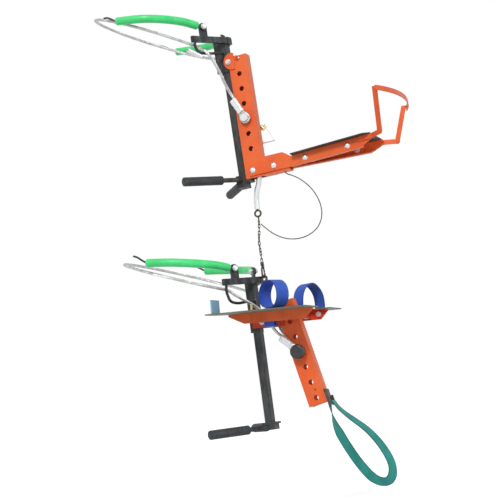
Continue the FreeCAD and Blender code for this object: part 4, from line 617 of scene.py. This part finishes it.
def loop_points(unit):
    low, high = LEVELS[unit]
    start_x = RING * math.cos(math.radians(START_ANGLE))
    points = []
    for index in range(LOOP_STEPS + 1):
        angle = math.radians(START_ANGLE + (360 - 2 * START_ANGLE) * index / LOOP_STEPS)
        grown = RING if index in (0, LOOP_STEPS) else RING * SWELL
        x = grown * math.cos(angle)
        level = low + (high - low) * (start_x - x) / (start_x + RING)
        points.append(Vector((x, -grown * math.sin(angle), level)) * MM)
    return points


SEAT_PIN = (25.3, -157.0)
FOOT_PIN = (69.5, -105.0)
EYE_MIDDLE = 21.6
FERRULE_START = 18.0
FERRULE_LENGTH = 42.0
FERRULE_HALF = 4.0
UNITS = {
    "upper": {
        "place": SEAT, "pin": SEAT_PIN, "lean": 25.0,
        "still": "upper_frame", "moving": "seat_frame", "word": "seat",
        "route": [(153, -71, 355), (167, -73, 344), (179, -67, 320), (189, -52, 286), (192, -36, 258)],
    },
    "lower": {
        "place": LEVER, "pin": FOOT_PIN, "lean": 34.0,
        "still": "lower_frame", "moving": "foot_frame", "word": "foot",
        "route": [(153, -71, -283), (170, -66, -296), (190, -54, -312), (207, -38, -331), (219, -32, -352)],
    },
}


def eye_point(unit, along, across, y):
    """A point by the rope pin: its distance towards the ferrule, across it, and from the middle plane."""
    lean = math.radians(unit["lean"])
    x, z = unit["pin"]
    return at(unit["place"], x - along * math.sin(lean) + across * math.cos(lean), y,
              z + along * math.cos(lean) + across * math.sin(lean))


def mirrored(points, side):
    return [Vector((point[0], -point[1] * side, point[2])) for point in points]


def make_ropes(name):
    unit = UNITS[name]
    loop = loop_points(name)
    form = Form().strands(route_line(loop, 0.0035), ROPE_RADIUS)
    make(form, f"{name}_loop_rope", unit["still"], "wire_rope", [f"{name}_rope_loop"])
    top = eye_point(unit, FERRULE_START + FERRULE_LENGTH, FERRULE_HALF, NEAR * EYE_MIDDLE)
    inside = eye_point(unit, FERRULE_START + FERRULE_LENGTH - 6, FERRULE_HALF, NEAR * EYE_MIDDLE)
    leave = eye_point(unit, FERRULE_START + FERRULE_LENGTH + 22, FERRULE_HALF, NEAR * EYE_MIDDLE)
    onward = (loop[0] - loop[1]).normalized() * 0.020
    middle = [Vector(point) * MM for point in unit["route"]]
    near = [loop[0], loop[0] + onward, *middle, leave, top, inside]
    form = Form()
    for side in SIDES:
        form.strands(route_line(mirrored(near, side), 0.0035), ROPE_RADIUS)
    tails = make(form, f"{unit['word']}_tail_ropes", None, "wire_rope", [f"{unit['word']}_rope_tails"])
    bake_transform(tails)


def make_eyes(name):
    """Thimble, rope eye and pressed ferrule on each side of a lever."""
    unit = UNITS[name]
    ropes, thimbles, ferrules = Form(), Form(), Form()
    eye = [(24, 4), (16, 5), (9, 8.4), (1, 10.8), (-6.5, 8.9), (-10.6, 3), (-10.6, -3), (-6.5, -8.9),
           (1, -10.8), (9, -8.4), (16, -5), (24, -4)]
    inner = [(17, 0.8), (9, 4.4), (1, 7.2), (-4.4, 6.0), (-7.2, 2.1), (-7.2, -2.1), (-4.4, -6.0), (1, -7.2),
             (9, -4.4), (17, -0.8)]
    for side in SIDES:
        y = side * EYE_MIDDLE
        ropes.strands(route_line([eye_point(unit, a, c, y) for a, c in eye], 0.002), 3.9 * MM, 6, 0.03)
        line = route_line([eye_point(unit, a, c, y) for a, c in inner], 0.0015)
        channel = [(-4.4, 1.6), (-3.4, 0.9), (-2.2, 0.2), (0, 0), (2.2, 0.2), (3.4, 0.9), (4.4, 1.6),
                   (4.0, 2.1), (3.0, 0.4), (1.8, -0.6), (0, -0.9), (-1.8, -0.6), (-3.0, 0.4), (-4.0, 2.1)]
        channel = [(u, -v) for u, v in channel][::-1]
        thimbles.sweep(line, np.array(channel) * MM, across=(0, 1, 0))
        outline = []
        for angle in range(-90, 91, 15):
            turned = math.radians(angle)
            outline.append((FERRULE_HALF + 6 * math.cos(turned), 6 * math.sin(turned)))
        outline.append((0, 5.0))
        for angle in range(90, 271, 15):
            turned = math.radians(angle)
            outline.append((-FERRULE_HALF + 6 * math.cos(turned), 6 * math.sin(turned)))
        outline.append((0, -5.0))
        path = [eye_point(unit, FERRULE_START + a, 0, y) for a in
                (0, 0.5, 1.6, 8, 9, 17, 18, 19, 26, 27, 28, 35, 36, 40.4, 41.5, 42)]
        sizes = [0.86, 0.95, 1, 1, 0.95, 0.95, 1, 1, 0.95, 0.95, 1, 1, 1, 1, 0.95, 0.86]
        across = eye_point(unit, 0, 1, y) - eye_point(unit, 0, 0, y)
        ferrules.sweep(path, np.array(outline) * MM, across, both_ways(sizes))
    make(ferrules, f"{unit['word']}_ferrules", unit["moving"], "zinc_steel", [f"{unit['word']}_rope_ends"])
    make(ropes, f"{unit['word']}_eye_ropes", unit["moving"], "wire_rope")
    make(thimbles, f"{unit['word']}_thimbles", unit["moving"], "zinc_steel")


for unit_name in UNITS:
    make_ropes(unit_name)
    make_eyes(unit_name)

# Guide hoses, fork grips and bolts of the two units.
YOKE_ANGLE = 53.5
HEAD_RISE = {"upper": 52.0, "lower": 99.0}
PIVOT_X = {"upper": 200.0, "lower": 198.0}
FORK = {"upper": (-2.0, -311.0), "lower": (-10.0, -262.0)}
FORK_ANGLE = 51.5
FORK_LENGTH = 184.0
GRIP_LENGTH = 111.0
GUIDE_RING = 174.0


def inboard(angle, side):
    turned = math.radians(angle)
    return Vector((-math.cos(turned), side * math.sin(turned), 0))


def yoke_point(unit, along, side, level=0.0, outward=0.0):
    forward = inboard(YOKE_ANGLE, side)
    normal = Vector((forward.y * side, -forward.x * side, 0))
    return Vector((8.0, 0, HEAD_RISE[unit] + level)) + forward * along + normal * outward


def make_hoses(unit):
    form = Form()
    for side in SIDES:
        centre = yoke_point(unit, 77, side, 41, 4.5)
        route = [centre + inboard(YOKE_ANGLE, side) * 13]
        for angle, lift in ((36, 8), (50, 15), (64, 22), (79, 30), (98, 38)):
            turned = math.radians(angle)
            x = GUIDE_RING * math.cos(turned) - PIVOT_X[unit]
            route.append(Vector((x, side * GUIDE_RING * math.sin(turned), centre.z + lift)))
        route[0] += (route[1] - route[0]).normalized() * 4
        form.sleeve(route_line([at(UNIT[unit], *point) for point in route], 0.006), 10.5 * MM, 4.4 * MM)
    make(form, f"{unit}_hoses", f"{unit}_frame", "green_hose", [f"{unit}_guide_hoses"])


def make_grips(unit):
    form = Form()
    x, z = FORK[unit]
    for side in SIDES:
        along = inboard(FORK_ANGLE, side)
        points = []
        sizes = []
        start = FORK_LENGTH - GRIP_LENGTH
        for distance, size in grip_profile():
            points.append(at(UNIT[unit], *(Vector((x, 0, z)) + along * (start + distance))))
            sizes.append(size)
        form.sweep(points, circle(28) * MM, square_to(points[1] - points[0]), both_ways(sizes))
    make(form, f"{unit}_grips", f"{unit}_frame", "black_rubber", [f"{unit}_fork_grips"])


def grip_profile():
    """Distance and radius down a rubber grip: a rim, shallow rings and a domed end."""
    profile = [(0.0, 9.0), (0.6, 10.6), (2.0, 11.5), (5.0, 11.5)]
    for ring in range(9):
        middle = 12.0 + ring * 10.5
        profile += [(middle - 1.2, 11.5), (middle - 0.6, 10.9), (middle + 0.6, 10.9), (middle + 1.2, 11.5)]
    return profile + [(107.0, 11.5), (109.4, 10.9), (110.6, 9.0), (111.0, 6.0)]


def hex_bolt(form, start, end, radius, head, thick, washer=1.0):
    """A hexagon bolt with a chamfered head at its start, and a washer, nut and thread at its end."""
    start, end = np.array(start, float), np.array(end, float)
    along = (end - start) / np.linalg.norm(end - start)
    span = np.linalg.norm(end - start)
    side = square_to(along)
    for place, way in ((start, -1), (end, 1)):
        rim = head * 1.12
        form.turned(place, along * way, [(0, rim), (washer * MM, rim), (washer * MM, head * 0.7)])
        base = place + along * way * washer * MM
        rings = [base, base + along * way * (thick - 1.4 * MM), base + along * way * thick]
        form.sweep(rings, circle(6) * head, side, [[1, 1], [1, 1], [0.84, 0.84]])
    thread = [(0, radius)]
    reach = span + washer * MM + thick
    pitch = 1.25 * MM
    place = reach
    while place < reach + 3.4 * MM:
        thread += [(place, radius), (place + pitch / 2, radius * 0.9)]
        place += pitch
    form.turned(start, along, thread, 20)


def make_unit_bolts(unit):
    form = Form()
    for side in SIDES:
        inner = yoke_point(unit, 77, side, 41, -2.5)
        outer = yoke_point(unit, 77, side, 41, 6.5)
        hex_bolt(form, at(UNIT[unit], *outer), at(UNIT[unit], *inner), 4 * MM, 6.6 * MM, 4 * MM)
    make(form, f"{unit}_tab_bolts", f"{unit}_frame", "zinc_steel", [f"{unit}_guide_bolts"])
    form = Form()
    place = UNIT[unit]
    hex_bolt(form, at(place, 0, -16.6, 0), at(place, 0, 16.6, 0), 4 * MM, 6.8 * MM, 4 * MM)
    word = UNITS[unit]["word"]
    make(form, f"{word}_pivot_bolt", f"{unit}_frame", "zinc_steel", [f"{word}_hinge_bolt"])


for unit_name in UNITS:
    make_hoses(unit_name)
    make_grips(unit_name)
    make_unit_bolts(unit_name)


# Foot straps, pull strap and tether.
# Millimetres in the foot frame: the plate's top with the strap's rest gap, and the band over it.
PLATE_TOP = 21 + 3 + 0.3
FOOT_BAND = 38
FOOT_WALL = 2.6
NEAR_START = (68, -95)
NEAR_RUN = (88, -49)
NEAR_LOOP = (
    (-18, 0.3), (18, 0.3), (35, 22), (33, 52), (10, 70),
    (-18, 66), (-35, 42), (-34, 16), (-18, 2.2), (6, 2.4),
)
FAR_START = (72, 62)
FAR_RUN = (36, 63)
FAR_LOOP = ((0, 0.3), (-1, 26), (10, 56), (38, 72), (64, 52), (74, 24), (72, 0.3))


def foot_loop(form, start, run, points, level, turn):
    """A band over a foot plate, by distance along its run and height; turn says which way it faces."""
    start = Vector((*start, level))
    run = Vector((*run, 0)).normalized()
    line = route_line([at(FOOT, *(start + run * along + Vector((0, 0, rise)))) for along, rise in points])
    facing = heading(FOOT, -run.y * turn, run.x * turn, 0)
    form.ribbon(line, np.tile(facing, (len(line), 1)), FOOT_BAND * MM, FOOT_WALL * MM)


def make_foot_straps():
    form = Form()
    foot_loop(form, NEAR_START, NEAR_RUN, NEAR_LOOP, PLATE_TOP + 1.5, 1)
    add_wrap(form, NEAR)
    make(form, "near_foot_strap", "foot_frame", "blue_webbing", ["foot_strap_near"])
    form = Form()
    foot_loop(form, FAR_START, FAR_RUN, FAR_LOOP, PLATE_TOP, -1)
    add_wrap(form, FAR)
    make(form, "far_foot_strap", "foot_frame", "blue_webbing", ["foot_strap_far"])


def add_wrap(form, side):
    """The strap's slack under the plate, inside a foot arm."""
    inner = side * (70 - 12 - 13)
    outer = side * (70 - 6.3)
    bottom = 21 - 25 - 11
    corner = 6
    path = [(outer, 11.7), (outer, bottom + corner), (outer, bottom), (outer - side * corner, bottom),
            (inner + side * corner, bottom), (inner, bottom), (inner, bottom + corner), (inner, 20.7)]
    line = route_line([at(FOOT, 38, y, z) for y, z in path], 0.003)
    form.ribbon(line, np.tile(heading(FOOT, 1, 0, 0), (len(line), 1)), 26 * MM, 2.8 * MM)


make_foot_straps()


PULL_LOOP = (
    (-5.2, 5.2), (-5.2, -6), (0, -52), (21, -102), (50, -156), (82, -198), (120, -206),
    (134, -170), (116, -122), (84, -76), (42, -40), (13.2, -12), (5.2, 5.2),
)


def make_pull_strap():
    """A webbing loop through the fitting at the lever's foot; it twists so that its flat side faces near."""
    centre = at(LEVER, 94.5 + 4.0, 0, -242.0 - 7.0)
    line = route_line([centre + Vector((x, 0, z)) * MM for x, z in PULL_LOOP], 0.003)
    line = np.vstack([line, line[:1]])
    line = evenly(line, 0.003)[:-1]
    tangents, _, _ = directions_along(line, (0, 1, 0), closed=True)
    share = np.linspace(0, 1, len(line), endpoint=False)
    twist = np.interp(share, [0, 0.06, 0.16, 0.40, 0.50, 0.56, 0.70, 0.86, 0.95, 1.0],
                      [0, 20, 74, 78, 50, 30, 24, 14, 0, 0])
    level = np.array((0.0, 1.0, 0.0))
    flat = np.cross(level, tangents)
    angle = np.radians(twist)[:, None]
    sides = level * np.cos(angle) + flat * np.sin(angle)
    form = Form().ribbon(line, sides, 25 * MM, 2.3 * MM, closed=True)
    make(form, "pull_strap_webbing", "foot_frame", "teal_webbing", ["pull_strap"])


make_pull_strap()


CHAIN_SWAY = ((0.16, 0.6), (0.35, -1.5), (0.56, -4.0), (0.79, -1.0))


def make_chain():
    """A twisted link chain between the sleeve's ring and the snap hook."""
    top, foot = Vector((220.0, 0, -93.5)), Vector((213.0, 0, -207.8))
    swayed = [top.lerp(foot, share) + Vector((sway, 0, 0)) for share, sway in CHAIN_SWAY]
    line = route_line([point * MM for point in (top, *swayed, foot)], 0.001)
    total = length_of(line)
    count = 13
    pitch = total / count
    wire = 1.15 * MM
    form = Form()
    along = np.concatenate([[0], np.cumsum(np.linalg.norm(np.diff(line, axis=0), axis=1))])
    for index in range(count):
        middle_at = (index + 0.5) * pitch
        middle = np.array([np.interp(middle_at, along, line[:, axis]) for axis in range(3)])
        ahead = np.array([np.interp(middle_at + 0.002, along, line[:, axis]) for axis in range(3)])
        axis = (ahead - middle) / np.linalg.norm(ahead - middle)
        side = square_to(axis)
        other = np.cross(axis, side)
        angle = math.radians(90 * index + 22 * index)
        across = math.cos(angle) * side + math.sin(angle) * other
        half_length = pitch / 2 + wire * 0.9
        bend = 2.3 * MM
        loop = []
        for turn_angle in range(0, 360, 20):
            turned = math.radians(turn_angle)
            shift = (half_length - bend) * (1 if math.cos(turned) >= 0 else -1)
            loop.append(middle + axis * (shift + bend * math.cos(turned)) + across * bend * math.sin(turned))
        form.sweep(loop, circle(8) * wire, across=np.cross(axis, across), closed=True)
    chain = make(form, "tether_links", None, "dark_steel", ["tether_chain"])
    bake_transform(chain)


make_chain()


# Floor, backdrop and lights.
FLOOR_LEVEL = -0.86
FLOOR_HALF = 30.0
FLOOR_LIFT = 0.55


def make_floor():
    """A pale floor; the camera and reflections see it lifted to the backdrop's white, with its shadow."""
    material = bpy.data.materials.new("floor")
    material.use_nodes = True
    tree = material.node_tree
    shader = tree.nodes["Principled BSDF"]
    noise = tree.nodes.new("ShaderNodeTexNoise")
    noise.inputs["Scale"].default_value = 6.0
    ramp = tree.nodes.new("ShaderNodeMapRange")
    ramp.inputs["To Min"].default_value = 0.84
    ramp.inputs["To Max"].default_value = 0.87
    tree.links.new(noise.outputs["Fac"], ramp.inputs["Value"])
    tree.links.new(ramp.outputs["Result"], shader.inputs["Base Color"])
    shader.inputs["Roughness"].default_value = 1.0
    shader.inputs["Specular IOR Level"].default_value = 0.0
    white = tree.nodes.new("ShaderNodeEmission")
    white.inputs["Strength"].default_value = FLOOR_LIFT
    added = tree.nodes.new("ShaderNodeAddShader")
    tree.links.new(shader.outputs["BSDF"], added.inputs[0])
    tree.links.new(white.outputs["Emission"], added.inputs[1])
    seen = seen_ray(tree)
    blend = tree.nodes.new("ShaderNodeMixShader")
    tree.links.new(seen, blend.inputs["Fac"])
    tree.links.new(shader.outputs["BSDF"], blend.inputs[1])
    tree.links.new(added.outputs["Shader"], blend.inputs[2])
    output = tree.nodes["Material Output"]
    tree.links.new(blend.outputs["Shader"], output.inputs["Surface"])
    half = FLOOR_HALF
    mesh = bpy.data.meshes.new("floor")
    mesh.from_pydata([(-half, -half, FLOOR_LEVEL), (half, -half, FLOOR_LEVEL), (half, half, FLOOR_LEVEL),
                      (-half, half, FLOOR_LEVEL)], [], [(0, 1, 2, 3)])
    mesh.materials.append(material)
    floor = bpy.data.objects.new("floor", mesh)
    bpy.context.scene.collection.objects.link(floor)


def seen_ray(tree):
    """One for camera, glossy and transmission rays, and nought for the rest."""
    path = tree.nodes.new("ShaderNodeLightPath")
    value = path.outputs["Is Camera Ray"]
    for name in ("Is Glossy Ray", "Is Transmission Ray"):
        larger = tree.nodes.new("ShaderNodeMath")
        larger.operation = "MAXIMUM"
        tree.links.new(value, larger.inputs[0])
        tree.links.new(path.outputs[name], larger.inputs[1])
        value = larger.outputs["Value"]
    return value


def make_world():
    world = bpy.data.worlds.new("studio")
    bpy.context.scene.world = world
    world.use_nodes = True
    tree = world.node_tree
    tree.nodes.clear()
    soft = tree.nodes.new("ShaderNodeBackground")
    white = tree.nodes.new("ShaderNodeBackground")
    soft.inputs["Color"].default_value = (0.92, 0.96, 1.0, 1.0)
    soft.inputs["Strength"].default_value = 0.38
    white.inputs["Color"].default_value = (1.0, 1.0, 1.0, 1.0)
    white.inputs["Strength"].default_value = 1.0
    blend = tree.nodes.new("ShaderNodeMixShader")
    tree.links.new(seen_ray(tree), blend.inputs["Fac"])
    tree.links.new(soft.outputs["Background"], blend.inputs[1])
    tree.links.new(white.outputs["Background"], blend.inputs[2])
    output = tree.nodes.new("ShaderNodeOutputWorld")
    tree.links.new(blend.outputs["Shader"], output.inputs["Surface"])


def make_sun(name, direction, strength, softness, colour):
    """A soft sun; direction points from the object to the light."""
    lamp = bpy.data.lights.new(name, "SUN")
    lamp.energy = strength
    lamp.angle = math.radians(softness)
    lamp.color = colour
    made = bpy.data.objects.new(name, lamp)
    made.rotation_euler = Vector(direction).to_track_quat("Z", "Y").to_euler()
    bpy.context.scene.collection.objects.link(made)


make_floor()
make_world()
make_sun("key_light", (0.10, -0.80, 0.62), 1.75, 16.0, (1.0, 0.97, 0.92))
make_sun("side_light", (0.95, -0.25, 0.35), 0.6, 30.0, (0.95, 0.97, 1.0))
bpy.context.scene.view_settings.view_transform = "Standard"
